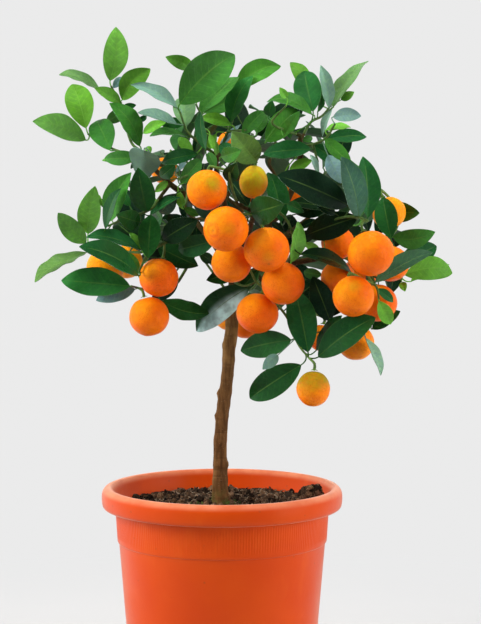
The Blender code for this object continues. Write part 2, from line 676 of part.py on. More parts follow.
def blade_mesh(blade, spread=0.0):
    """A closed leaf as points and triangles: two like faces and the rim between them."""
    rows = blade_rows(blade, spread)
    lift = BLADE_THICKNESS / 2 + spread
    tops = [[point + up * lift for point in row] for row, up in rows]
    points = [point for row in tops for point in row]
    count = len(points)
    points += [point - up * lift for row, up in rows for point in row]
    rings = []
    start = 0
    for row in tops:
        rings.append(list(range(start, start + len(row))))
        start += len(row)
    faces = []
    for low, high in zip(rings, rings[1:]):
        if len(low) == 2 and len(high) == 3:
            found = [(low[0], high[1], high[0]), (low[0], low[1], high[1]), (low[1], high[2], high[1])]
        elif len(high) == 1:
            found = [(a, b, high[0]) for a, b in zip(low, low[1:])]
        else:
            found = []
            for (a, b), (c, d) in zip(zip(low, low[1:]), zip(high, high[1:])):
                found += [(a, b, c), (b, d, c)]
        faces += found
    faces += [(c + count, b + count, a + count) for a, b, c in faces]
    loop = [ring[0] for ring in rings] + [ring[-1] for ring in reversed(rings) if len(ring) > 1]
    for a, b in zip(loop, loop[1:] + loop[:1]):
        faces += [(a, b, b + count), (a, b + count, a + count)]
    return points, faces


def tube_mesh(path, radius):
    """A plain four-sided tube for trials of what is clear of a stem."""
    points = []
    for index, point in enumerate(path):
        way = path[min(index + 1, len(path) - 1)] - path[max(index - 1, 0)]
        side = way.orthogonal().normalized() * radius
        other = way.cross(side).normalized() * radius
        points += [point + side, point + other, point - side, point - other]
    faces = []
    for ring in range(len(path) - 1):
        for k in range(4):
            a, b = ring * 4 + k, ring * 4 + (k + 1) % 4
            faces += [(a, b, b + 4), (a, b + 4, a + 4)]
    return points, faces


def ball_mesh(middle, radius):
    """An orange's faceted ball for trials."""
    bm = bmesh.new()
    bmesh.ops.create_icosphere(bm, subdivisions=2, radius=radius)
    points = [vert.co + middle for vert in bm.verts]
    faces = [tuple(vert.index for vert in face.verts) for face in bm.faces]
    bm.free()
    return points, faces


def collection(name, parent):
    made = bpy.data.collections.new(name)
    parent.children.link(made)
    return made


def material(name, colour, roughness):
    made = bpy.data.materials.new(name)
    made.use_nodes = True
    shader = made.node_tree.nodes["Principled BSDF"]
    shader.inputs["Base Color"].default_value = (*colour, 1)
    shader.inputs["Roughness"].default_value = roughness
    shader.inputs["Metallic"].default_value = 0
    return made


def new_object(name, mesh, group):
    made = bpy.data.objects.new(name, mesh)
    group.objects.link(made)
    return made


def stem_object(name, path, radii, group, sides=4):
    """A closed tube along a path, with a radius at each point."""
    curve = bpy.data.curves.new(name, "CURVE")
    curve.dimensions = "3D"
    curve.bevel_depth = 1.0
    curve.bevel_resolution = (sides - 4) // 2
    curve.use_fill_caps = True
    spline = curve.splines.new("POLY")
    spline.points.add(len(path) - 1)
    for spot, point, radius in zip(spline.points, path, radii):
        spot.co = (*point, 1)
        spot.radius = radius
    source = new_object(name + "_curve", curve, group)
    graph = bpy.context.evaluated_depsgraph_get()
    mesh = bpy.data.meshes.new_from_object(source.evaluated_get(graph))
    bpy.data.objects.remove(source)
    bm = bmesh.new()
    bm.from_mesh(mesh)
    bmesh.ops.remove_doubles(bm, verts=bm.verts, dist=0.01 * MM)
    bmesh.ops.triangulate(bm, faces=bm.faces)
    bmesh.ops.recalc_face_normals(bm, faces=bm.faces)
    bm.to_mesh(mesh)
    bm.free()
    return new_object(name, mesh, group)


def blade_object(name, blade, group):
    points, faces = blade_mesh(blade)
    mesh = bpy.data.meshes.new(name)
    mesh.from_pydata(points, [], faces)
    bm = bmesh.new()
    bm.from_mesh(mesh)
    bmesh.ops.recalc_face_normals(bm, faces=bm.faces)
    bm.to_mesh(mesh)
    bm.free()
    return new_object(name, mesh, group)


def fused(name, first, rest, finish, group):
    """One solid from a first object and a collection of others, which are then removed."""
    union = first.modifiers.new("union", "BOOLEAN")
    union.operation = "UNION"
    union.operand_type = "COLLECTION"
    union.collection = rest
    union.solver = "MANIFOLD"
    graph = bpy.context.evaluated_depsgraph_get()
    mesh = bpy.data.meshes.new_from_object(first.evaluated_get(graph))
    for spare in [first, *rest.objects]:
        bpy.data.objects.remove(spare)
    bpy.data.collections.remove(rest)
    mesh.name = name
    mesh.materials.clear()
    mesh.materials.append(finish)
    return new_object(name, mesh, group)


def turned(name, profile, sides, group):
    """A solid of revolution from a closed profile of (radius, height) that runs down its outer side."""
    mesh = bpy.data.meshes.new(name)
    count = len(profile)
    mesh.from_pydata([(r, 0, z) for r, z in profile], [(k, (k + 1) % count) for k in range(count)], [])
    made = new_object(name, mesh, group)
    screw = made.modifiers.new("turn", "SCREW")
    screw.steps = sides
    screw.render_steps = sides
    screw.use_merge_vertices = True
    screw.merge_threshold = 0.01 * MM
    return made


def real_mesh(thing, group):
    """The object as the viewport shows it, made a plain mesh under the same name."""
    name = thing.name
    graph = bpy.context.evaluated_depsgraph_get()
    mesh = bpy.data.meshes.new_from_object(thing.evaluated_get(graph))
    bpy.data.objects.remove(thing)
    return new_object(name, mesh, group)


def inner_radius(z):
    """The radius of the pot's inner wall at a height."""
    slope = (BODY_TOP_RADIUS - BASE_RADIUS) / STEP_HEIGHT
    return BASE_RADIUS + slope * z - POT_WALL


def make_pot(group, cutters):
    lip_bottom = POT_HEIGHT - LIP_DROP
    slope = (BODY_TOP_RADIUS - BASE_RADIUS) / STEP_HEIGHT
    profile = [
        (CREST_RADIUS, POT_HEIGHT),
        (LIP_RADIUS - 2 * MM, POT_HEIGHT - 2.2 * MM),
        (LIP_RADIUS, POT_HEIGHT - 6.5 * MM),
        (LIP_RADIUS - 0.6 * MM, lip_bottom + 2.5 * MM),
        (LIP_RADIUS - 2.6 * MM, lip_bottom),
        (COLLAR_RADIUS + 1.2 * MM, lip_bottom + 0.6 * MM),
        (COLLAR_RADIUS, lip_bottom - 2 * MM),
        (BODY_TOP_RADIUS + STEP_DEPTH, STEP_HEIGHT + 0.8 * MM),
        (BODY_TOP_RADIUS, STEP_HEIGHT - 0.6 * MM),
        (BASE_RADIUS + slope * 3 * MM, 3 * MM),
        (BASE_RADIUS - 2.5 * MM, 0),
        (0, 0),
        (0, POT_FLOOR),
        (inner_radius(POT_FLOOR), POT_FLOOR),
        (inner_radius(POT_HEIGHT - 14 * MM), POT_HEIGHT - 14 * MM),
        (CREST_RADIUS - 3.6 * MM, POT_HEIGHT - 2.4 * MM),
    ]
    pot = turned("pot", profile, POT_SIDES, group)
    pot.data.materials.append(material("orange_plastic", (0.83, 0.16, 0.04), 0.4))
    for number in range(DRAIN_COUNT):
        angle = 2 * math.pi * (number + 0.5) / DRAIN_COUNT
        mesh = bpy.data.meshes.new("drain")
        bm = bmesh.new()
        bmesh.ops.create_cone(bm, cap_ends=True, segments=8, radius1=DRAIN_RADIUS, radius2=DRAIN_RADIUS,
                              depth=4 * POT_FLOOR)
        bm.to_mesh(mesh)
        bm.free()
        drain = new_object(f"drain_{number}", mesh, cutters)
        drain.location = (DRAIN_RING * math.cos(angle), DRAIN_RING * math.sin(angle), 0)
        drain.hide_render = True
        drain.display_type = "WIRE"
    cut = pot.modifiers.new("drains", "BOOLEAN")
    cut.operation = "DIFFERENCE"
    cut.operand_type = "COLLECTION"
    cut.collection = cutters
    cut.solver = "MANIFOLD"
    return pot


def soil_height(x, y):
    """The crumbly top of the soil, with the heap by the wall."""
    top = POT_HEIGHT - SOIL_DEPTH
    away = math.hypot(x - HEAP_PLACE[0], y - HEAP_PLACE[1])
    heap = HEAP_HEIGHT * math.exp(-(away / HEAP_SPREAD) ** 2)
    crumbs = SOIL_RELIEF * (math.sin(x * 190) * math.cos(y * 170 + 1) + 0.6 * math.sin(x * 410 + y * 330))
    return top + heap + crumbs


def make_soil(group, finish):
    """The soil: a turned body inside the wall, its top lowered to the relief, with the stem's hole."""
    top = POT_HEIGHT - SOIL_DEPTH
    rings = [0, 14, 30, 48, 64, 76]
    edge = inner_radius(top) - 2.5 * GAP
    floor = POT_FLOOR + GAP
    profile = [(r * MM, top) for r in rings] + [
        (edge, top),
        (inner_radius(floor) - 2.5 * GAP, floor),
        (0, floor),
    ]
    soil = turned("soil", profile, SOIL_SIDES, group)
    soil = real_mesh(soil, group)
    for vert in soil.data.vertices:
        if vert.co.z > top - 0.1 * MM:
            vert.co.z = soil_height(vert.co.x, vert.co.y)
    bm = bmesh.new()
    bmesh.ops.create_cone(bm, cap_ends=True, segments=10, radius1=HOLE_RADIUS, radius2=HOLE_RADIUS,
                          depth=4 * HOLE_DEPTH)
    mesh = bpy.data.meshes.new("stem_hole")
    bm.to_mesh(mesh)
    bm.free()
    holes = bpy.data.collections.new("holes")
    bpy.context.scene.collection.children.link(holes)
    hole = new_object("stem_hole", mesh, holes)
    foot = place(*TRUNK_PATH[1])
    hole.location = (foot.x, foot.y, top + HOLE_DEPTH)
    hole.hide_render = True
    hole.display_type = "WIRE"
    cut = soil.modifiers.new("hole", "BOOLEAN")
    cut.object = hole
    cut.solver = "MANIFOLD"
    soil.data.materials.append(finish)
    return soil


def taper(path, start, end):
    """Radii that fall evenly from the start of a path to its end."""
    return [start + (end - start) * k / (len(path) - 1) for k in range(len(path))]


def lay_out_wood(layout):
    """The trunk, the boughs and the twigs of every leafy stem, each clear of the fruits."""
    trunk = [place(*spot) for spot in TRUNK_PATH]
    trunk[0] = Vector((trunk[1].x, 0, POT_HEIGHT - SOIL_DEPTH - HOLE_DEPTH + 3 * MM))
    layout.add_stem("trunk", trunk[2:], [radius * MM for radius in TRUNK_RADII[2:]])
    boughs = {}
    for name, (spots, thick, thin) in BOUGHS.items():
        path = smooth_path([place(*spot) for spot in spots], BOUGH_STEP)
        path = layout.eased(path, thick * MM, "trunk")
        boughs[name] = (path, taper(path, thick * MM, thin * MM))
        layout.add_stem("trunk", *boughs[name])
    twigs = {}
    for name, spec in STEMS.items():
        made = []
        for spots in spec["twigs"]:
            points = [place(*spot) for spot in spots]
            if made:
                points[0] = nearest_on(made[0], points[0])[0]
            path = layout.eased(smooth_path(points, TWIG_STEP), TWIG_RADII[0], name, held=len(made))
            layout.add_stem(name, path, taper(path, *TWIG_RADII))
            made.append(path)
        twigs[name] = made
    for name, (start, end, _) in BACK_STEMS.items():
        start, end = Vector(start) * MM, Vector(end) * MM
        middle = start.lerp(end, 0.5) + Vector((0, 0, BACK_ARCH))
        path = layout.eased(smooth_path([start, middle, end], TWIG_STEP), TWIG_RADII[0], name, held=0)
        layout.add_stem(name, path, taper(path, *TWIG_RADII))
        twigs[name] = [path]
    branchlets = {}
    for name, made in twigs.items():
        start, way = made[0][0], (made[0][1] - made[0][0]).normalized()
        finish = start - way * GAP
        before = start - way * NECK_LENGTH
        spots = [low.lerp(high, step / ROOT_SPOTS) for path, _ in boughs.values()
                 for low, high in zip(path, path[1:]) for step in range(ROOT_SPOTS)]
        root = min(spots, key=lambda p: (before - p).length * 3 - 2 * (before - p).dot(way))
        path = [root, before]
        if (root - before).length > BOUGH_STEP:
            path.insert(1, root.lerp(before, 0.5) + Vector((0, 0, LONG_BRANCHLET_RISE)))
        path = layout.eased(path, BRANCHLET_RADII[0], "trunk", last_held=True)
        path.append(finish)
        layout.add_stem("trunk", path, taper(path, *BRANCHLET_RADII))
        branchlets[name] = path
    return trunk, boughs, twigs, branchlets


def lay_out_stalks(layout, twigs):
    """Each fruit's stalk, from the nearest twig of its leafy stem to just off its skin."""
    stalks = {}
    owners = {name: spec["fruits"] for name, spec in STEMS.items()}
    owners.update({name: fruits for name, (_, _, fruits) in BACK_STEMS.items()})
    for name, fruits in owners.items():
        for fruit in fruits:
            middle, radius, axis = layout.fruits[fruit]
            end = middle + axis * (radius + GAP)
            neck = end + axis * NECK_LENGTH
            root = root_on(twigs[name], neck)
            steps = max(1, round((neck - root).length / TWIG_STEP))
            path = [root.lerp(neck, step / steps) for step in range(steps + 1)]
            path = layout.eased(path, STALK_RADIUS, name)
            path.append(end)
            layout.add_stem(name, path, [STALK_RADIUS] * len(path))
            stalks[fruit] = (name, path)
    return stalks


def lay_out_blades(layout, twigs):
    """Every leaf of the crown, slid along its sight line until it is clear of other nodes."""
    for node, start, end, radius in layout.stems:
        layout.add_solid(node, *tube_mesh([start, end], radius))
    for name, (middle, radius, _) in layout.fruits.items():
        layout.add_solid(name, *ball_mesh(middle, radius))
    blades = {name: [] for name in twigs}
    order = sorted(STEMS, key=lambda name: sum(p.y for path in twigs[name] for p in path)
                   / sum(len(path) for path in twigs[name]))
    trials = [(slide, twist) for slide in SLIDES for twist in TWISTS]
    trials.sort(key=lambda trial: abs(trial[0] - 0.5) + 20 * abs(trial[1]))
    for name in order:
        for spec in STEMS[name]["leaves"]:
            best = None
            for slide, twist in trials:
                blade = blade_from_pixels(spec, twigs[name], slide, twist)
                others, own = layout.crossings(name, *blade_mesh(blade, CLEARANCE))
                if others == 0 and (best is None or own < best[0]):
                    best = (own, blade)
                if best and best[0] == 0:
                    break
            blades[name].append(best[1])
            layout.add_solid(name, *blade_mesh(best[1]), leafy=True)
    draw = random.Random(SEED)
    for name in BACK_STEMS:
        twig = twigs[name][0]
        for number in range(BACK_LEAVES):
            along = 0.12 + 0.88 * number / (BACK_LEAVES - 1)
            start = 2.4 * number + draw.uniform(-0.2, 0.2)
            length = draw.uniform(*BACK_LENGTH) * MM
            droop = draw.uniform(*BACK_DROOP)
            for step in range(BACK_TRIALS):
                turn = start + BACK_TURN * step
                blade = blade_on_twig(twig, along, turn, length, droop + 0.04 * step, "back")
                if not all(inside_dense(blade.base + blade.along * length * t) for t in (0, 0.5, 1)):
                    continue
                if layout.crossings(name, *blade_mesh(blade, CLEARANCE)) == (0, 0):
                    blades[name].append(blade)
                    layout.add_solid(name, *blade_mesh(blade), leafy=True)
                    break
    return blades


def make_trunk(trunk, boughs, branchlets, group, finish):
    """The trunk, boughs and branchlets, grown as one piece."""
    rest = collection("wood", bpy.context.scene.collection)
    radii = [radius * MM for radius in TRUNK_RADII]
    first = stem_object("trunk_stem", trunk, radii, group, 8)
    for name, (path, sizes) in boughs.items():
        stem_object(name, path, sizes, rest, 4)
    for name, path in branchlets.items():
        stem_object(name + "_branchlet", path, taper(path, *BRANCHLET_RADII), rest, 4)
    return fused("trunk", first, rest, finish, group)


def make_stem(name, twigs, stalks, blades, group, finish):
    """A leafy stem: its twigs, its leaves and its fruits' stalks, grown as one piece."""
    rest = collection(name + "_pieces", bpy.context.scene.collection)
    first = stem_object(name + "_twig", twigs[0], taper(twigs[0], *TWIG_RADII), group)
    for number, path in enumerate(twigs[1:]):
        stem_object(f"{name}_twig_{number}", path, taper(path, *TWIG_RADII), rest)
    for fruit, (owner, path) in stalks.items():
        if owner == name:
            sizes = [STALK_RADIUS] * (len(path) - 1) + [CALYX_RADIUS]
            stem_object(f"{fruit}_stalk", path, sizes, rest)
    for number, blade in enumerate(blades):
        blade_object(f"{name}_leaf_{number}", blade, rest)
    return fused(name, first, rest, finish, group)


def make_orange(name, middle, radius, axis, group, finish):
    mesh = bpy.data.meshes.new(name)
    bm = bmesh.new()
    bmesh.ops.create_icosphere(bm, subdivisions=2, radius=radius)
    bm.to_mesh(mesh)
    bm.free()
    mesh.materials.append(finish)
    orange = new_object(name, mesh, group)
    orange.location = middle
    orange.rotation_mode = "QUATERNION"
    orange.rotation_quaternion = Vector((0, 0, 1)).rotation_difference(axis)
    return orange


def round_off(thing, angle):
    thing.data.shade_smooth()
    thing.data.set_sharp_from_angle(angle=math.radians(angle))


def main():
    for thing in list(bpy.data.objects):
        bpy.data.objects.remove(thing)
    scene = bpy.context.scene
    group = collection("potted_orange_tree", scene.collection)
    cutters = collection("cutters", scene.collection)
    layout = Layout()
    for name, (u, v, size, depth, axis) in FRUITS.items():
        middle = place(u, v, depth)
        layout.add_fruit(name, middle, size * pixel_size(middle), axis)
    trunk, boughs, twigs, branchlets = lay_out_wood(layout)
    stalks = lay_out_stalks(layout, twigs)
    blades = lay_out_blades(layout, twigs)
    round_off(make_pot(group, cutters), 40)
    make_soil(group, material("soil", (0.035, 0.022, 0.015), 0.95))
    bark = material("bark", (0.17, 0.12, 0.08), 0.85)
    round_off(make_trunk(trunk, boughs, branchlets, group, bark), 60)
    for name, made in twigs.items():
        tones = [TONES[blade.tone] for blade in blades[name]]
        tone = [sum(channel) / len(tones) for channel in zip(*tones)]
        make_stem(name, made, stalks, blades[name], group, material(name + "_leaf", tone, 0.35))
    for name, (middle, radius, axis) in layout.fruits.items():
        peel = material(name + "_peel", (0.9, 0.27, 0.02), 0.42)
        round_off(make_orange(name, middle, radius, axis, group, peel), 60)


main()
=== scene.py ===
"""Looks of the potted orange tree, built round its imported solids.

Metres, +Z up, in the frame of the solids. The origin is the middle of the pot's underside.
"""

import math
import random
from collections import namedtuple

import bmesh
import bpy
import numpy as np
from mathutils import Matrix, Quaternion, Vector, noise
from mathutils.bvhtree import BVHTree


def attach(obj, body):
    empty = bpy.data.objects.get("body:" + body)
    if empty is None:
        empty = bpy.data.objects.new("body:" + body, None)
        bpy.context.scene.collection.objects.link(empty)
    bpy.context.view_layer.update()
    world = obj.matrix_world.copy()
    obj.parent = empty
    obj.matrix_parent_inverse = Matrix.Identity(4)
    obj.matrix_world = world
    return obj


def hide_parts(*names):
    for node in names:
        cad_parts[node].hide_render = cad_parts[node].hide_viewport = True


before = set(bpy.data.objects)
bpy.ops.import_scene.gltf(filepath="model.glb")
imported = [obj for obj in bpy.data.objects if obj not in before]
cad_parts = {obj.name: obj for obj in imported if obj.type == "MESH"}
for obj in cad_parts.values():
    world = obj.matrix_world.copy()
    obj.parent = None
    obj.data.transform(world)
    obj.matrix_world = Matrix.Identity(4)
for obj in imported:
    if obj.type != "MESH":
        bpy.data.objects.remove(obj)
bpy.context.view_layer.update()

MM = 0.001
SEED = 7
GAP = 0.3 * MM

# Pot
POT_HEIGHT = 175 * MM
LIP_DROP = 17.5 * MM
COLLAR_RADIUS = 88.6 * MM
STEP_HEIGHT = 129.5 * MM
STEP_DEPTH = 1.3 * MM
BODY_TOP_RADIUS = 85.8 * MM
BASE_RADIUS = 75 * MM
POT_WALL = 2.6 * MM
POT_FLOOR = 3 * MM
DRAIN_COUNT = 5
DRAIN_RADIUS = 5.5 * MM
DRAIN_RING = 46 * MM

# Soil
SOIL_DEPTH = 16 * MM
SOIL_RELIEF = 1.5 * MM
HEAP_PLACE = (74 * MM, -3 * MM)
HEAP_HEIGHT = 12 * MM
HEAP_SPREAD = 13 * MM
HOLE_DEPTH = 45 * MM

# Front view: the crown is laid out in pixels of a 481 x 624 view of the tree, each with a
# depth in millimetres behind the plane of the trunk.
EYE = Vector((0.0153, -1.65, 0.443))
PITCH = math.radians(4.26)
FOCAL_PX = 2000
IMAGE_WIDTH = 481
SENSOR = 36
MIDDLE_PX = (240.5, 312)
CROWN_MIDDLE = Vector((0.018, 0.0, 0.405))

# Leaves
LEAF_RATIO = 0.46
BLADE_THICKNESS = 0.9 * MM
PETIOLE_WIDTH = 1.5 * MM
FOLD = 0.13
ARCH = 0.05
CLEARANCE = 0.45 * MM
PETIOLE_LENGTH = 5 * MM
LARGE_LEAF = 62 * MM
SMALL_LEAF = 33 * MM
LEAN_RANGE = (6, 36)
LEAST_SHOWN = 1 / 2.2
MOST_TURNED = 3
GOLDEN = 0.618
OUTWARD = 0.6
SLIDES = range(-24, 25, 2)
TWISTS = (0, 0.25, -0.25, 0.5, -0.5, 0.8, -0.8)

# Wood: radii at the start and end of each twig and branchlet
TWIG_RADII = (1.3 * MM, 0.8 * MM)
BRANCHLET_RADII = (1.7 * MM, 1.3 * MM)
TWIG_STEP = 20 * MM
BOUGH_STEP = 26 * MM
MOST_PUSH = 1.5 * MM
LEAST_SHARE = 0.15
ROOT_INSET = 2.5 * MM
FRUIT_MARGIN = 1.2 * MM
STEM_MARGIN = 0.8 * MM
EASING_ROUNDS = 80
SAMPLES = 4
ROOT_SPOTS = 5
LONG_BRANCHLET_RISE = 3 * MM

# Fruits
FRUIT_GAP = 0.7 * MM
NECK_LENGTH = 5 * MM
STALK_RADIUS = 0.85 * MM
CALYX_RADIUS = 2.6 * MM

Leaf = namedtuple("Leaf", "u0 v0 u1 v1 width tone depth lean roll side bow")
Blade = namedtuple("Blade", "root base along across up length width arch bow tone")


def leaf(u0, v0, u1, v1, width, tone, depth=0, lean=0, roll=0, side=1, bow=(0, 0)):
    """A leaf from its base pixel to its tip pixel, with its width as seen. lean -1 brings its
    tip nearer and 1 takes it away, roll picks the way it turns, side -1 shows the underside,
    and bow is how far its middle bends off the straight line, in pixels."""
    if lean == 0:
        lean = -1 if (u0 + v1) % 2 else 1
    return Leaf(u0, v0, u1, v1, width, tone, depth, lean, roll, side, bow)


# Oranges: pixel of the middle, radius in pixels, depth, and where the calyx points (x, y, z)
FRUITS = {
    "orange_01": (207, 190, 20.4, -85, (0.1, 0.5, 0.9)),
    "orange_02": (253.5, 182, 16.2, -60, (0.1, 0.5, 0.9)),
    "orange_03": (226, 229, 22.9, -97, (0.3, 0.9, 0.5)),
    "orange_04": (266.6, 249.5, 23.3, -104, (-0.1, 0.8, 0.7)),
    "orange_05": (231.5, 263, 20.3, -66, (0.1, 0.5, 0.9)),
    "orange_06": (283, 283.5, 22, -84, (0.2, 0.7, 0.8)),
    "orange_07": (257.4, 313.5, 21.3, -58, (0.2, 0.4, 0.9)),
    "orange_08": (158.8, 277.6, 19.8, -56, (0.2, 0.3, 0.95)),
    "orange_09": (149.2, 316.6, 20.2, -54, (-0.25, 0.1, 0.95)),
    "orange_10": (105, 268, 19, 8, (0.5, 0.1, 0.85)),
    "orange_11": (126, 262, 17, 42, (0.4, 0.1, 0.9)),
    "orange_12": (313.3, 388.8, 18.4, -80, (0.05, 0.05, 1)),
    "orange_13": (370.8, 253.5, 23.6, -92, (-0.3, 0.25, 0.92)),
    "orange_14": (338, 243, 17, -42, (0.2, 0.5, 0.85)),
    "orange_15": (389.2, 213, 17, 2, (-0.4, -0.1, 0.9)),
    "orange_16": (391, 264, 18.5, -44, (-0.2, 0.3, 0.93)),
    "orange_17": (353.4, 296.3, 21, -86, (-0.1, 0.6, 0.8)),
    "orange_18": (338, 278, 17.5, -44, (0.1, 0.4, 0.9)),
    "orange_19": (378.3, 303, 19, -46, (-0.2, 0.3, 0.93)),
    "orange_20": (356, 342.6, 18.4, -22, (0, 0.2, 0.98)),
    "orange_21": (229, 316, 15, 62, (0, 0.1, 1)),
    "orange_22": (246, 322, 17, 22, (0, 0.2, 0.98)),
    "orange_23": (296, 194, 13, 55, (-0.3, 0, 0.95)),
    "orange_24": (322, 338, 14, 12, (0.1, 0.1, 1)),
    "orange_25": (165, 171, 14, 72, (0.3, 0, 0.95)),
    "orange_26": (230, 144, 13, 66, (0, 0, 1)),
    "orange_27": (238, 250, 17, 118, (0, -0.2, 0.98)),
    "orange_28": (362, 272, 18, 78, (-0.3, -0.1, 0.95)),
    "orange_29": (252, 186, 17, 110, (0, -0.2, 0.98)),
}

# Boughs: pixels with a depth, from the trunk outwards, and the radius at each end in mm
TRUNK_PATH = [
    (221, 530, 0), (221, 503, 0), (220, 492, 0), (220.2, 474, 0), (220.2, 457, 0),
    (220.5, 440, 0), (222.3, 416, 0), (224.3, 400, 0), (226.6, 383, 0), (228.3, 366, 0),
    (229, 350, 0), (231.5, 330, 0), (232, 309, 2), (233, 288, 4),
]
TRUNK_RADII = [7.0, 7.4, 6.8, 6.0, 5.6, 5.4, 5.2, 5.2, 5.1, 5.0, 5.2, 5.4, 5.6, 5.2]
BOUGHS = {
    "leader": ([(233, 290, 4), (236, 262, 10), (232, 236, 8), (225, 208, 2), (218, 180, -4),
                (216, 160, -8)], 4.6, 2.0),
    "left": ([(233, 252, 9), (222, 228, 0), (203, 210, -10), (185, 195, -18), (170, 184, -22),
              (153, 168, -22)], 3.6, 1.9),
    "right": ([(234, 276, 8), (252, 246, 8), (275, 218, 4), (292, 190, -4), (300, 160, -10),
               (300, 138, -14)], 3.8, 2.0),
    "right_low": ([(234, 284, 5), (262, 268, -2), (298, 262, -10), (322, 258, -12),
                   (342, 257, -16)], 3.4, 2.0),
    "front": ([(235, 268, 8), (246, 240, -20), (252, 220, -38), (254, 206, -52)], 2.8, 1.9),
    "left_low": ([(233, 282, 5), (212, 262, -8), (194, 246, -26), (180, 238, -40)], 3.0, 1.9),
    "back_left": ([(233, 272, 8), (214, 244, 30), (196, 222, 52), (184, 206, 66)], 3.2, 1.8),
    "back_right": ([(235, 280, 6), (262, 252, 34), (290, 232, 56), (308, 222, 70)], 3.2, 1.8),
    "back": ([(235, 258, 10), (240, 226, 36), (242, 200, 58), (243, 184, 66)], 3.0, 1.8),
}

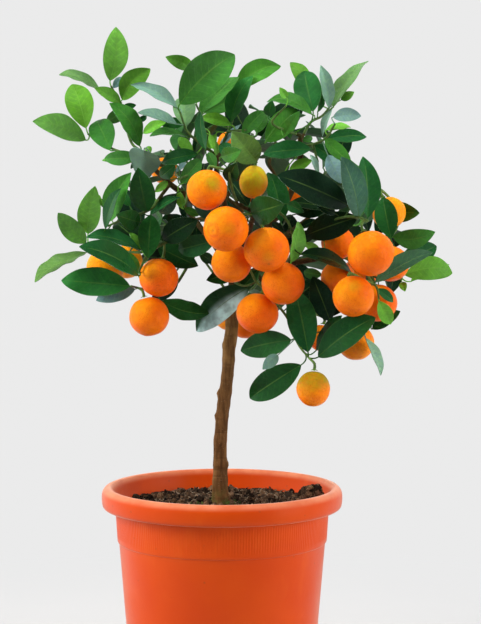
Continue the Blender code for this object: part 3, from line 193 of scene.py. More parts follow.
# Leafy stems, with their twigs as pixels and depths, the fruits that hang on them, and their
# leaves with the front-most first
STEMS = {
    "stem_top_left": dict(
        twigs=[[(147, 158, -20), (143, 152, -16), (133, 145, -10), (127, 130, -4), (121, 105, 4),
                (111, 86, 10)]],
        leaves=[
            leaf(110, 81, 116, 27, 25, "lime", bow=(4, 0)),
            leaf(122, 100, 150, 69, 22, "light", bow=(-3, -4)),
            leaf(100, 90, 60, 73, 10, "soft", roll=-1, bow=(0, -1)),
            leaf(121, 102, 95, 88, 12, "light"),
            leaf(140, 146, 111, 103, 20, "fresh", -4, bow=(3, -2)),
            leaf(143, 133, 165, 122, 10, "light"),
            leaf(128, 108, 106, 122, 13, "mid", 6),
        ],
    ),
    "stem_far_left": dict(
        twigs=[[(158, 164, -32), (138, 156, -26), (113, 149, -14), (88, 134, 0)]],
        leaves=[
            leaf(144, 150, 141, 178, 34, "grey", -12, side=-1),
            leaf(110, 150, 96, 120, 26, "fresh", -4),
            leaf(86, 128, 72, 84, 28, "light", bow=(1, 0)),
            leaf(86, 140, 33, 121, 15, "lime", roll=-1, bow=(1, -4)),
            leaf(138, 157, 104, 158, 15, "mid", bow=(0, 2)),
        ],
    ),
    "stem_left_mid": dict(
        twigs=[[(158, 200, -44), (152, 208, -52), (140, 214, -56), (124, 219, -56), (108, 226, -50)]],
        leaves=[
            leaf(108, 222, 130, 173, 22, "fresh", -4, bow=(-2, -1)),
            leaf(147, 212, 138, 168, 25, "dark", -2),
            leaf(150, 215, 180, 196, 9, "dark"),
            leaf(140, 222, 117, 215, 20, "dark"),
            leaf(105, 229, 119, 188, 11, "dark", -12),
            leaf(130, 206, 120, 190, 10, "dark", 8),
        ],
    ),
    "stem_left_low": dict(
        twigs=[[(174, 238, -48), (162, 244, -56), (144, 252, -60), (114, 250, -44), (88, 243, -26)],
               [(150, 250, -60), (139, 272, -66)]],
        fruits=["orange_08", "orange_10"],
        leaves=[
            leaf(139, 275, 80, 246, 22, "dark", -6),
            leaf(148, 258, 151, 214, 23, "dark", -6),
            leaf(140, 249, 87, 235, 18, "dark", -4),
            leaf(157, 246, 198, 266, 22, "dark", 22),
            leaf(160, 242, 181, 236, 14, "dark"),
            leaf(163, 240, 197, 220, 24, "deep", 10),
            leaf(138, 275, 126, 251, 14, "mid", 4),
            leaf(88, 234, 95, 187, 23, "lime", bow=(-2, 0)),
            leaf(86, 243, 58, 213, 20, "lime", bow=(-1, 1)),
            leaf(86, 252, 34, 279, 13, "soft", roll=-1),
        ],
    ),
    "stem_left_bottom": dict(
        twigs=[[(190, 262, -24), (176, 284, -26), (160, 292, -28), (143, 289, -40), (131, 286, -54)]],
        fruits=["orange_09"],
        leaves=[
            leaf(130, 286, 61, 280, 29, "lush", -4, bow=(0, 2)),
            leaf(162, 301, 209, 313, 20, "dark", bow=(0, 6)),
            leaf(135, 289, 96, 300, 18, "grey", 4),
            leaf(178, 282, 152, 300, 16, "deep", 6),
        ],
    ),
    "stem_top": dict(
        twigs=[[(212, 152, -12), (200, 143, -18), (187, 131, -24), (180, 112, -28)],
               [(196, 140, -20), (203, 122, -14), (196, 104, -8)]],
        leaves=[
            leaf(180, 104, 235, 54, 40, "mid", -6, bow=(-4, -3)),
            leaf(177, 107, 131, 83, 13, "slate", -2, roll=-1, bow=(-1, 0)),
            leaf(186, 127, 184, 96, 23, "sage", -4),
            leaf(177, 124, 138, 112, 10, "slate", roll=-1),
            leaf(193, 153, 178, 137, 11, "light", -2),
            leaf(199, 114, 238, 75, 18, "mid", 8),
            leaf(194, 68, 166, 57, 14, "light", 14, bow=(0, -1)),
            leaf(186, 122, 160, 124, 12, "dark", 8),
        ],
    ),
    "stem_top_mid": dict(
        twigs=[[(220, 152, 2), (226, 136, 8), (232, 122, 12), (238, 100, 18)],
               [(228, 132, 10), (246, 130, -6)]],
        leaves=[
            leaf(235, 89, 281, 65, 22, "mid", 0, bow=(-1, -4)),
            leaf(231, 122, 252, 75, 20, "lush", -4, bow=(-4, -1)),
            leaf(231, 125, 200, 117, 12, "light", -6),
            leaf(242, 134, 265, 110, 15, "mid", -4),
            leaf(257, 133, 261, 111, 16, "mid"),
            leaf(204, 113, 242, 94, 19, "mid", -4),
        ],
    ),
    "stem_front": dict(
        twigs=[[(236, 200, -62), (232, 188, -74), (230, 171, -80), (240, 159, -78), (254, 160, -66)]],
        fruits=["orange_01", "orange_02"],
        leaves=[
            leaf(257, 162, 232, 132, 28, "olive", -4),
            leaf(221, 157, 241, 150, 16, "mid"),
            leaf(228, 182, 236, 163, 16, "dark"),
            leaf(216, 167, 208, 152, 10, "mid"),
            leaf(205, 150, 200, 112, 11, "dark", 8),
        ],
    ),
    "stem_right_top_left": dict(
        twigs=[[(296, 134, -22), (284, 130, -32), (272, 122, -40), (286, 106, -46)]],
        leaves=[
            leaf(312, 114, 267, 100, 13, "mid", -4, roll=-1, bow=(0, -4)),
            leaf(266, 142, 297, 108, 24, "mid", -2),
            leaf(268, 116, 272, 101, 12, "dark"),
            leaf(290, 138, 288, 118, 12, "dark", 4),
            leaf(285, 134, 299, 112, 12, "mid", 6),
        ],
    ),
    "stem_right_top": dict(
        twigs=[[(304, 134, -6), (311, 122, 0), (322, 116, 8), (332, 104, 20)]],
        leaves=[
            leaf(313, 111, 304, 69, 28, "dark", -6),
            leaf(333, 107, 367, 59, 14, "soft", -2, roll=1, bow=(-2, -1)),
            leaf(329, 108, 321, 65, 13, "slate"),
            leaf(306, 92, 290, 62, 16, "light", 8, bow=(4, -1)),
        ],
    ),
    "stem_right_top_low": dict(
        twigs=[[(304, 146, -20), (314, 144, -28), (326, 138, -34), (335, 124, -34)],
               [(312, 148, -28), (318, 162, -32)]],
        leaves=[
            leaf(328, 155, 341, 183, 17, "grey", -6),
            leaf(325, 138, 351, 162, 14, "mid", -4, bow=(-2, 2)),
            leaf(328, 139, 367, 136, 14, "dark", -2),
            leaf(313, 145, 337, 161, 15, "dark", 4),
            leaf(333, 117, 361, 116, 14, "grey", bow=(0, -2)),
            leaf(311, 149, 263, 153, 18, "dark", -2),
            leaf(289, 171, 312, 160, 11, "light", 2),
        ],
    ),
    "stem_right_mid": dict(
        twigs=[[(318, 226, -50), (340, 218, -66), (358, 217, -82), (368, 221, -88)]],
        fruits=["orange_13", "orange_14"],
        leaves=[
            leaf(359, 218, 342, 157, 24, "dusk", -10, lean=-1),
            leaf(358, 217, 304, 236, 27, "deep", -4),
            leaf(368, 218, 364, 156, 24, "dark", 4, lean=1, bow=(-2, 0)),
            leaf(348, 205, 278, 175, 31, "deep", 6),
            leaf(361, 216, 353, 159, 14, "mid", 8),
        ],
    ),
    "stem_heart": dict(
        twigs=[[(258, 212, -58), (268, 210, -60), (280, 213, -62), (290, 226, -66), (294, 248, -70)],
               [(262, 213, -60), (252, 214, -70)]],
        fruits=["orange_03", "orange_04", "orange_06"],
        leaves=[
            leaf(291, 262, 300, 221, 14, "light", -8, roll=-1),
            leaf(251, 213, 283, 204, 29, "dark", -18),
            leaf(248, 206, 230, 180, 20, "deep", 2),
            leaf(281, 222, 269, 171, 21, "dark", 14),
            leaf(287, 204, 303, 212, 12, "dark"),
            leaf(216, 240, 177, 250, 22, "dark", 6),
            leaf(301, 254, 354, 273, 14, "deep", 2, roll=1),
            leaf(296, 214, 330, 204, 18, "deep", 8),
        ],
    ),
    "stem_right_out": dict(
        twigs=[[(358, 244, -18), (376, 238, -8), (392, 232, 4), (398, 222, 14)],
               [(388, 234, 0), (400, 258, -8)]],
        fruits=["orange_15", "orange_16"],
        leaves=[
            leaf(391, 238, 383, 197, 23, "dark", -28),
            leaf(393, 237, 435, 232, 20, "mid", -4, bow=(0, 5)),
            leaf(400, 262, 437, 246, 22, "dark", -4),
            leaf(392, 213, 418, 213, 20, "mid", 6),
            leaf(380, 226, 404, 206, 20, "deep", 14),
        ],
    ),
    "stem_right_low": dict(
        twigs=[[(354, 262, -26), (366, 272, -32), (384, 279, -34), (402, 278, -30)],
               [(366, 274, -32), (370, 300, -22), (370, 328, -22)],
               [(366, 272, -32), (371, 281, -56), (377, 288, -70), (379, 299, -70)]],
        fruits=["orange_18", "orange_19", "orange_20", "orange_17"],
        leaves=[
            leaf(375, 282, 432, 251, 17, "dusk", -12, lean=-1),
            leaf(405, 275, 453, 273, 24, "light", bow=(1, -6)),
            leaf(411, 281, 449, 263, 10, "light", 6),
            leaf(379, 301, 391, 325, 15, "light", -48, lean=1),
            leaf(377, 289, 394, 302, 9, "dark", -46, lean=1),
            leaf(372, 329, 400, 311, 14, "dark"),
            leaf(366, 338, 382, 375, 9, "grey", -4, roll=1),
        ],
    ),
    "stem_bottom": dict(
        twigs=[[(262, 282, -14), (270, 298, -28), (281, 309, -44), (290, 323, -56), (298, 344, -66),
                (309, 358, -74)]],
        fruits=["orange_12", "orange_24"],
        leaves=[
            leaf(308, 352, 295, 290, 30, "dark", -6, bow=(2, 0)),
            leaf(318, 357, 375, 317, 29, "ink", -8, bow=(0, -2)),
            leaf(291, 340, 240, 351, 27, "dark", -4, bow=(1, -3)),
            leaf(301, 365, 249, 399, 29, "dark", -6),
            leaf(330, 321, 313, 277, 24, "deep", 10),
            leaf(316, 350, 340, 315, 12, "dark", 4),
            leaf(278, 355, 263, 369, 12, "slate", 4),
        ],
    ),
    "stem_under": dict(
        twigs=[[(224, 270, -14), (232, 280, -30), (244, 286, -40), (256, 282, -44)]],
        fruits=["orange_05", "orange_07"],
        leaves=[
            leaf(249, 287, 195, 331, 30, "gloss", -10, bow=(-1, -1)),
            leaf(235, 272, 207, 280, 16, "dark", -4),
            leaf(258, 270, 240, 290, 14, "dark", -10),
            leaf(212, 262, 199, 253, 11, "dark"),
        ],
    ),
    "stem_upper_left": dict(
        twigs=[[(204, 184, -12), (196, 176, -26), (186, 176, -38), (178, 180, -46)],
               [(190, 178, -34), (186, 204, -48)]],
        leaves=[
            leaf(181, 183, 201, 159, 16, "mid", -4),
            leaf(198, 154, 161, 162, 15, "dark"),
            leaf(175, 165, 160, 177, 14, "dark", -4),
            leaf(176, 194, 160, 214, 18, "deep", 6),
        ],
    ),
}

# Back of the crown: each twig's start and end in millimetres, and its fruits
BACK_STEMS = {
    "stem_back_1": ((-36, 30, 392), (-78, 54, 374), ["orange_11"]),
    "stem_back_2": ((-20, 66, 428), (-46, 104, 454), ["orange_25"]),
    "stem_back_3": ((24, 48, 444), (26, 92, 468), ["orange_29", "orange_26"]),
    "stem_back_4": ((78, 60, 424), (106, 92, 440), ["orange_23"]),
    "stem_back_5": ((80, 44, 382), (130, 66, 378), ["orange_28"]),
    "stem_back_6": ((18, 70, 396), (22, 118, 392), ["orange_27"]),
    "stem_back_7": ((-14, 44, 372), (-40, 92, 350), ["orange_21"]),
    "stem_back_8": ((46, 52, 366), (64, 100, 346), ["orange_22"]),
    "stem_back_9": ((40, 16, 446), (52, 44, 474), []),
    "stem_back_10": ((-30, 8, 420), (-52, 34, 452), []),
}
BACK_LEAVES = 8
BACK_LENGTH = (42, 58)
BACK_TRIALS = 24
BACK_TURN = 0.7
BACK_FIRST = 0.12
BACK_SPIN = 2.4
BACK_LOOSE = 0.2
BACK_SAG = 0.04
BACK_DROOP = (0.0, 0.35)
BACK_SPLAY = (68, 30)
BACK_ARCH = 5 * MM
# Where the crown is dense, as pixels of the front view: leaves at the back stay behind it
DENSE = [
    (135, 152), (178, 152), (184, 118), (200, 108), (250, 96), (310, 112), (340, 138), (372, 168), (398, 205),
    (406, 240), (402, 280), (388, 312), (350, 322), (300, 305), (270, 318), (238, 300), (214, 256),
    (172, 254), (140, 268), (112, 240), (105, 215), (122, 180),
]
# Where it is open inside that outline: left, top, right and bottom
OPENINGS = [(155, 184, 181, 213), (302, 160, 319, 176)]


def sight(u, v):
    """The sight line through a pixel of the front view."""
    right = (u - MIDDLE_PX[0]) / FOCAL_PX
    up = (MIDDLE_PX[1] - v) / FOCAL_PX
    return Vector((right, math.cos(PITCH) + up * math.sin(PITCH), up * math.cos(PITCH) - math.sin(PITCH)))


def place(u, v, depth):
    """The point behind a pixel, depth millimetres behind the trunk's plane."""
    ray = sight(u, v)
    return EYE + ray * ((depth * MM - EYE.y) / ray.y)


def in_view(point):
    """How far right, ahead and up a point lies as seen from the eye."""
    offset = point - EYE
    ahead = offset.y * math.cos(PITCH) - offset.z * math.sin(PITCH)
    return offset.x, ahead, offset.y * math.sin(PITCH) + offset.z * math.cos(PITCH)


def pixel(point):
    """Where a point shows in the front view."""
    right, ahead, up = in_view(point)
    return (MIDDLE_PX[0] + FOCAL_PX * right / ahead, MIDDLE_PX[1] - FOCAL_PX * up / ahead)


def pixel_size(point):
    """The size of a pixel of the front view at a point."""
    return in_view(point)[1] / FOCAL_PX


def inside_dense(point):
    """Whether a point shows inside the crown's dense part in the front view."""
    u, v = pixel(point)
    if any(left < u < right and top < v < bottom for left, top, right, bottom in OPENINGS):
        return False
    hit = False
    for (u0, v0), (u1, v1) in zip(DENSE, DENSE[1:] + DENSE[:1]):
        if (v0 > v) != (v1 > v) and u < u0 + (v - v0) / (v1 - v0) * (u1 - u0):
            hit = not hit
    return hit


def smooth_path(points, spacing):
    """Points about this far apart on a smooth curve through the given ones."""
    ends = [points[0] * 2 - points[1]] + list(points) + [points[-1] * 2 - points[-2]]
    path = []
    for before, start, end, after in zip(ends, ends[1:], ends[2:], ends[3:]):
        steps = max(1, round((end - start).length / spacing))
        for step in range(steps):
            t = step / steps
            path.append(0.5 * (2 * start + (end - before) * t
                               + (2 * before - 5 * start + 4 * end - after) * t ** 2
                               + (3 * start - before - 3 * end + after) * t ** 3))
    path.append(points[-1].copy())
    return path


def share_along(point, start, end):
    """How far along a segment, from 0 to 1, its nearest point to another lies."""
    span = end - start
    return min(1, max(0, (point - start).dot(span) / max(span.length_squared, 1e-12)))


def nearest_on(path, point):
    """The point of a path nearest to a point, with its place in the path."""
    best = None
    for index, (start, end) in enumerate(zip(path, path[1:])):
        t = share_along(point, start, end)
        spot = start + (end - start) * t
        if best is None or (spot - point).length < (best[0] - point).length:
            best = (spot, index + t)
    return best


def root_on(paths, point):
    """The nearest point of some twigs, but never at the very start of one."""
    root = min((nearest_on(path, point)[0] for path in paths), key=lambda p: (p - point).length)
    for path in paths:
        if (root - path[0]).length < ROOT_INSET:
            root = path[0] + (path[1] - path[0]).normalized() * ROOT_INSET
    return root


def segment_gap(a0, a1, b0, b1):
    """The shortest line between two segments, as its two ends."""
    best = None
    for step in range(SAMPLES + 1):
        point = a0.lerp(a1, step / SAMPLES)
        other = b0 + (b1 - b0) * share_along(point, b0, b1)
        point = a0 + (a1 - a0) * share_along(other, a0, a1)
        if best is None or (point - other).length < (best[0] - best[1]).length:
            best = (point, other)
    return best


def corners(points):
    """The lowest and the highest corner of the box round some points."""
    return [[pick(p[k] for p in points) for k in range(3)] for pick in (min, max)]


class Layout:
    """What has been placed so far: fruits, stems and blades, each kept clear of the others."""

    def __init__(self):
        self.fruits = {}
        self.stems = []
        self.solids = []

    def add_fruit(self, name, middle, radius, axis):
        ray = (middle - EYE).normalized()
        while any((middle - other).length < radius + size + FRUIT_GAP
                  for other, size, _ in self.fruits.values()):
            middle = middle + ray * MM
        self.fruits[name] = (middle, radius, Vector(axis).normalized())

    def eased(self, path, radius, node, held=1, last_held=False):
        """The path pushed clear of the fruits and of other nodes' stems. Its first points are held,
        and its last one may be."""
        path = [point.copy() for point in path]
        free = range(held, len(path) - last_held)
        obstacles = [(middle, middle, size + FRUIT_MARGIN) for middle, size, _ in self.fruits.values()]
        obstacles += [(start, end, size + STEM_MARGIN) for other, start, end, size in self.stems
                      if other != node]
        for _ in range(EASING_ROUNDS):
            moved = False
            for index in range(1, len(path)):
                for start, end, size in obstacles:
                    spot, near = segment_gap(path[index - 1], path[index], start, end)
                    away = spot - near
                    short = size + radius - away.length
                    if short <= 0:
                        continue
                    way = away.normalized() if away.length > 1e-6 else Vector((0, 1, 0))
                    push = way * min(short + 0.1 * MM, MOST_PUSH)
                    share = (spot - path[index - 1]).length / (path[index] - path[index - 1]).length
                    for end_index, part in ((index - 1, 1 - share), (index, share)):
                        if end_index in free and part > LEAST_SHARE:
                            path[end_index] += push
                            moved = True
            if not moved:
                break
        return path

    def add_stem(self, node, path, radii):
        for start, end, first, last in zip(path, path[1:], radii, radii[1:]):
            self.stems.append((node, start, end, max(first, last)))

    def add_solid(self, node, points, faces, leafy=False):
        self.solids.append((node, leafy, *corners(points), BVHTree.FromPolygons(points, faces)))

    def crossings(self, node, points, faces):
        """How often a trial leaf crosses other nodes, and the leaves of its own node."""
        low, high = corners(points)
        tree = None
        others = own = 0
        for name, leafy, lo, hi, solid in self.solids:
            if (name == node and not leafy) or any(low[k] > hi[k] or high[k] < lo[k] for k in range(3)):
                continue
            tree = tree or BVHTree.FromPolygons(points, faces)
            if tree.overlap(solid):
                others += name != node
                own += name == node
        return others, own


def blade_from_pixels(spec, twigs, slide, twist):
    """The place and size of a leaf from its row of pixels, slid along its sight line."""
    guess = place(spec.u0, spec.v0, 0)
    spots = [nearest_on(path, place(spec.u0, spec.v0, nearest_on(path, guess)[0].y / MM)) for path in twigs]
    spot = min((found[0] for found in spots),
               key=lambda p: math.dist(pixel(p), (spec.u0, spec.v0)))
    depth = spot.y / MM + spec.depth + slide
    base = place(spec.u0, spec.v0, depth)
    flat_tip = place(spec.u1, spec.v1, depth)
    size = pixel_size(base)
    seen = (flat_tip - base).length
    width = spec.width * size
    length = max(seen, min(width / (LEAF_RATIO + 0.04), seen / LEAST_SHOWN))
    least = LEAN_RANGE[0] + (LEAN_RANGE[1] - LEAN_RANGE[0]) * (GOLDEN * (spec.u0 + spec.v0) % 1)
    lean = max(math.sqrt(max(0, length ** 2 - seen ** 2)), seen * math.tan(math.radians(least)))
    tip = place(spec.u1, spec.v1, depth + spec.lean * lean / MM)
    true_width = max(width, min(LEAF_RATIO * length, width * MOST_TURNED))
    roll = math.acos(min(1, width / true_width))
    along = (tip - base).normalized()
    view = EYE - base
    facing = (view - along * view.dot(along)).normalized()
    side = facing.cross(along)
    outward = (base.lerp(tip, 0.5) - CROWN_MIDDLE).normalized()
    wish = Vector((0, 0, 1)) + OUTWARD * outward
    ups = [(facing * math.cos(roll + twist * turn) + side * math.sin(turn * roll + twist)) * spec.side
           for turn in (1, -1)]
    up = ups[0] if spec.roll > 0 or (spec.roll == 0 and ups[0].dot(wish) >= ups[1].dot(wish)) else ups[1]
    up = (up - along * up.dot(along)).normalized()
    root = root_on(twigs, base - along * PETIOLE_LENGTH)
    bow = place(spec.u0 + spec.bow[0], spec.v0 + spec.bow[1], depth) - base
    across = along.cross(up)
    return Blade(root, base, along, across, up, (tip - base).length, true_width, ARCH, bow, spec.tone)


def plain_blade(root, along, wish, length, tone):
    """A leaf of the common form that grows one way from its root, with its top towards a wish."""
    up = (wish - along * wish.dot(along)).normalized()
    base = root + along * (PETIOLE_LENGTH + MM)
    return Blade(root, base, along, along.cross(up), up, length, length * LEAF_RATIO, ARCH, Vector(), tone)


def blade_on_twig(twig, place_on, turn, length, droop, tone):
    """A leaf that grows from a twig by rule: turned about it, and leaning out."""
    index = min(len(twig) - 2, int(place_on * (len(twig) - 1)))
    root = twig[index].lerp(twig[index + 1], place_on * (len(twig) - 1) - index)
    way = (twig[index + 1] - twig[index]).normalized()
    out = way.orthogonal().normalized()
    out.rotate(Quaternion(way, turn))
    splay = math.radians(BACK_SPLAY[0] + (BACK_SPLAY[1] - BACK_SPLAY[0]) * place_on)
    along = (way * math.cos(splay) + out * math.sin(splay) - Vector((0, 0, droop))).normalized()
    return plain_blade(root, along, (way + Vector((0, 0, 1.3))).normalized(), length, tone)


def half_width(t):
    """The outline of a leaf: its half width at t from base to tip, of a width of 1."""
    return 0.5 * (4 * t * (1 - t)) ** 0.8


def blade_rows(blade, spread=0.0):
    """Rows of points across a leaf from its root to its tip, each with the way up there."""
    large = blade.length > LARGE_LEAF
    stations = (0.22, 0.5, 0.8) if large else (0.32, 0.7)
    if blade.length < SMALL_LEAF:
        stations = (0.45,)
    half = PETIOLE_WIDTH / 2 + spread
    stalk = (blade.base - blade.root).normalized()
    turn = blade.along.rotation_difference(stalk)
    rows = []
    joints = [(blade.root, 1.0), (blade.base, 0.5)]
    for middle, share in joints[:1] if blade.tone == "back" else joints:
        part = Quaternion().slerp(turn, share)
        across = part @ blade.across
        rows.append(([middle - across * half, middle + across * half], part @ blade.up))
    for t in stations:
        bend = (blade.up * blade.arch * blade.length + blade.bow) * 4 * t * (1 - t)
        middle = blade.base + blade.along * blade.length * t + bend
        reach = half_width(t) * blade.width + spread
        edge = blade.up * FOLD * reach
        row = [middle - blade.across * reach + edge, middle + blade.across * reach + edge]
        if large:
            row.insert(1, middle)
        rows.append((row, blade.up))
    tip = blade.base + blade.along * (blade.length + spread)
    rows.append(([tip], blade.up))
    return rows


def blade_mesh(blade, spread=0.0):
    """A closed leaf as points and triangles: two like faces and the rim between them."""
    rows = blade_rows(blade, spread)
    lift = BLADE_THICKNESS / 2 + spread
    tops = [[point + up * lift for point in row] for row, up in rows]
    points = [point for row in tops for point in row]
    count = len(points)
    points += [point - up * lift for row, up in rows for point in row]
    rings = []
    start = 0
    for row in tops:
        rings.append(list(range(start, start + len(row))))
        start += len(row)
    faces = []
    for low, high in zip(rings, rings[1:]):
        if len(low) == 2 and len(high) == 3:
            found = [(low[0], high[1], high[0]), (low[0], low[1], high[1]), (low[1], high[2], high[1])]
        elif len(high) == 1:
            found = [(a, b, high[0]) for a, b in zip(low, low[1:])]
        else:
            found = []
            for (a, b), (c, d) in zip(zip(low, low[1:]), zip(high, high[1:])):
                found += [(a, b, c), (b, d, c)]
        faces += found
    faces += [(c + count, b + count, a + count) for a, b, c in faces]
    loop = [ring[0] for ring in rings] + [ring[-1] for ring in reversed(rings) if len(ring) > 1]
    for a, b in zip(loop, loop[1:] + loop[:1]):
        faces += [(a, b, b + count), (a, b + count, a + count)]
    return points, faces


def tube_mesh(path, radius):
    """A plain four-sided tube for trials of what is clear of a stem."""
    points = []
    for index, point in enumerate(path):
        way = path[min(index + 1, len(path) - 1)] - path[max(index - 1, 0)]
        side = way.orthogonal().normalized() * radius
        other = way.cross(side).normalized() * radius
        points += [point + side, point + other, point - side, point - other]
    faces = []
    for ring in range(len(path) - 1):
        for k in range(4):
            a, b = ring * 4 + k, ring * 4 + (k + 1) % 4
            faces += [(a, b, b + 4), (a, b + 4, a + 4)]
    return points, faces


def ball_mesh(level, radius=1, middle=(0, 0, 0)):
    """An even ball of triangles, finer at each level."""
    bm = bmesh.new()
    bmesh.ops.create_icosphere(bm, subdivisions=level, radius=radius)
    points = [vert.co + Vector(middle) for vert in bm.verts]
    faces = [tuple(vert.index for vert in face.verts) for face in bm.faces]
    bm.free()
    return points, faces


def inner_radius(z):
    """The radius of the pot's inner wall at a height."""
    slope = (BODY_TOP_RADIUS - BASE_RADIUS) / STEP_HEIGHT
    return BASE_RADIUS + slope * z - POT_WALL


def soil_height(x, y):
    """The crumbly top of the soil, with the heap by the wall."""
    top = POT_HEIGHT - SOIL_DEPTH
    away = math.hypot(x - HEAP_PLACE[0], y - HEAP_PLACE[1])
    heap = HEAP_HEIGHT * math.exp(-(away / HEAP_SPREAD) ** 2)
    crumbs = SOIL_RELIEF * (math.sin(x * 190) * math.cos(y * 170 + 1) + 0.6 * math.sin(x * 410 + y * 330))
    return top + heap + crumbs


def taper(path, start, end):
    """Radii that fall evenly from the start of a path to its end."""
    return [start + (end - start) * k / (len(path) - 1) for k in range(len(path))]


def lay_out_wood(layout):
    """The trunk, the boughs and the twigs of every leafy stem, each clear of the fruits."""
    trunk = [place(*spot) for spot in TRUNK_PATH]
    trunk[0] = Vector((trunk[1].x, 0, POT_HEIGHT - SOIL_DEPTH - HOLE_DEPTH + 3 * MM))
    layout.add_stem("trunk", trunk[2:], [radius * MM for radius in TRUNK_RADII[2:]])
    boughs = {}
    for name, (spots, thick, thin) in BOUGHS.items():
        path = smooth_path([place(*spot) for spot in spots], BOUGH_STEP)
        path = layout.eased(path, thick * MM, "trunk")
        boughs[name] = (path, taper(path, thick * MM, thin * MM))
        layout.add_stem("trunk", *boughs[name])
    twigs = {}
    for name, spec in STEMS.items():
        made = []
        for spots in spec["twigs"]:
            points = [place(*spot) for spot in spots]
            if made:
                points[0] = nearest_on(made[0], points[0])[0]
            path = layout.eased(smooth_path(points, TWIG_STEP), TWIG_RADII[0], name, held=len(made))
            layout.add_stem(name, path, taper(path, *TWIG_RADII))
            made.append(path)
        twigs[name] = made
    for name, (start, end, _) in BACK_STEMS.items():
        start, end = Vector(start) * MM, Vector(end) * MM
        middle = start.lerp(end, 0.5) + Vector((0, 0, BACK_ARCH))
        path = layout.eased(smooth_path([start, middle, end], TWIG_STEP), TWIG_RADII[0], name, held=0)
        layout.add_stem(name, path, taper(path, *TWIG_RADII))
        twigs[name] = [path]
    branchlets = {}
    for name, made in twigs.items():
        start, way = made[0][0], (made[0][1] - made[0][0]).normalized()
        finish = start - way * GAP
        before = start - way * NECK_LENGTH
        spots = [low.lerp(high, step / ROOT_SPOTS) for path, _ in boughs.values()
                 for low, high in zip(path, path[1:]) for step in range(ROOT_SPOTS)]
        root = min(spots, key=lambda p: (before - p).length * 3 - 2 * (before - p).dot(way))
        path = [root, before]
        if (root - before).length > BOUGH_STEP:
            path.insert(1, root.lerp(before, 0.5) + Vector((0, 0, LONG_BRANCHLET_RISE)))
        path = layout.eased(path, BRANCHLET_RADII[0], "trunk", last_held=True)
        path.append(finish)
        layout.add_stem("trunk", path, taper(path, *BRANCHLET_RADII))
        branchlets[name] = path
    return trunk, boughs, twigs, branchlets


def lay_out_stalks(layout, twigs):
    """Each fruit's stalk, from the nearest twig of its leafy stem to just off its skin."""
    stalks = {}
    owners = {name: spec.get("fruits", []) for name, spec in STEMS.items()}
    owners.update({name: fruits for name, (_, _, fruits) in BACK_STEMS.items()})
    for name, fruits in owners.items():
        for fruit in fruits:
            middle, radius, axis = layout.fruits[fruit]
            end = middle + axis * (radius + GAP)
            neck = end + axis * NECK_LENGTH
            root = root_on(twigs[name], neck)
            steps = max(1, round((neck - root).length / TWIG_STEP))
            path = [root.lerp(neck, step / steps) for step in range(steps + 1)]
            path = layout.eased(path, STALK_RADIUS, name)
            path.append(end)
            layout.add_stem(name, path, [STALK_RADIUS] * len(path))
            stalks[fruit] = (name, path)
    return stalks


def lay_out_blades(layout, twigs):
    """Every leaf of the crown, slid along its sight line until it is clear of other nodes."""
    for node, start, end, radius in layout.stems:
        layout.add_solid(node, *tube_mesh([start, end], radius))
    for name, (middle, radius, _) in layout.fruits.items():
        layout.add_solid(name, *ball_mesh(2, radius, middle))
    blades = {name: [] for name in twigs}
    order = sorted(STEMS, key=lambda name: sum(p.y for path in twigs[name] for p in path)
                   / sum(len(path) for path in twigs[name]))
    trials = [(slide, twist) for slide in SLIDES for twist in TWISTS]
    trials.sort(key=lambda trial: abs(trial[0] - 0.5) + 20 * abs(trial[1]))
    for name in order:
        for spec in STEMS[name]["leaves"]:
            best = None
            for slide, twist in trials:
                blade = blade_from_pixels(spec, twigs[name], slide, twist)
                others, own = layout.crossings(name, *blade_mesh(blade, CLEARANCE))
                if others == 0 and (best is None or own < best[0]):
                    best = (own, blade)
                if best and best[0] == 0:
                    break
            blades[name].append(best[1])
            layout.add_solid(name, *blade_mesh(best[1]), leafy=True)
    draw = random.Random(SEED)
    for name in BACK_STEMS:
        twig = twigs[name][0]
        for number in range(BACK_LEAVES):
            along = BACK_FIRST + (1 - BACK_FIRST) * number / (BACK_LEAVES - 1)
            start = BACK_SPIN * number + draw.uniform(-BACK_LOOSE, BACK_LOOSE)
            length = draw.uniform(*BACK_LENGTH) * MM
            droop = draw.uniform(*BACK_DROOP)
            for step in range(BACK_TRIALS):
                turn = start + BACK_TURN * step
                blade = blade_on_twig(twig, along, turn, length, droop + BACK_SAG * step, "back")
                if not all(inside_dense(blade.base + blade.along * length * t) for t in (0, 0.5, 1)):
                    continue
                if layout.crossings(name, *blade_mesh(blade, CLEARANCE)) == (0, 0):
                    blades[name].append(blade)
                    layout.add_solid(name, *blade_mesh(blade), leafy=True)
                    break
    return blades


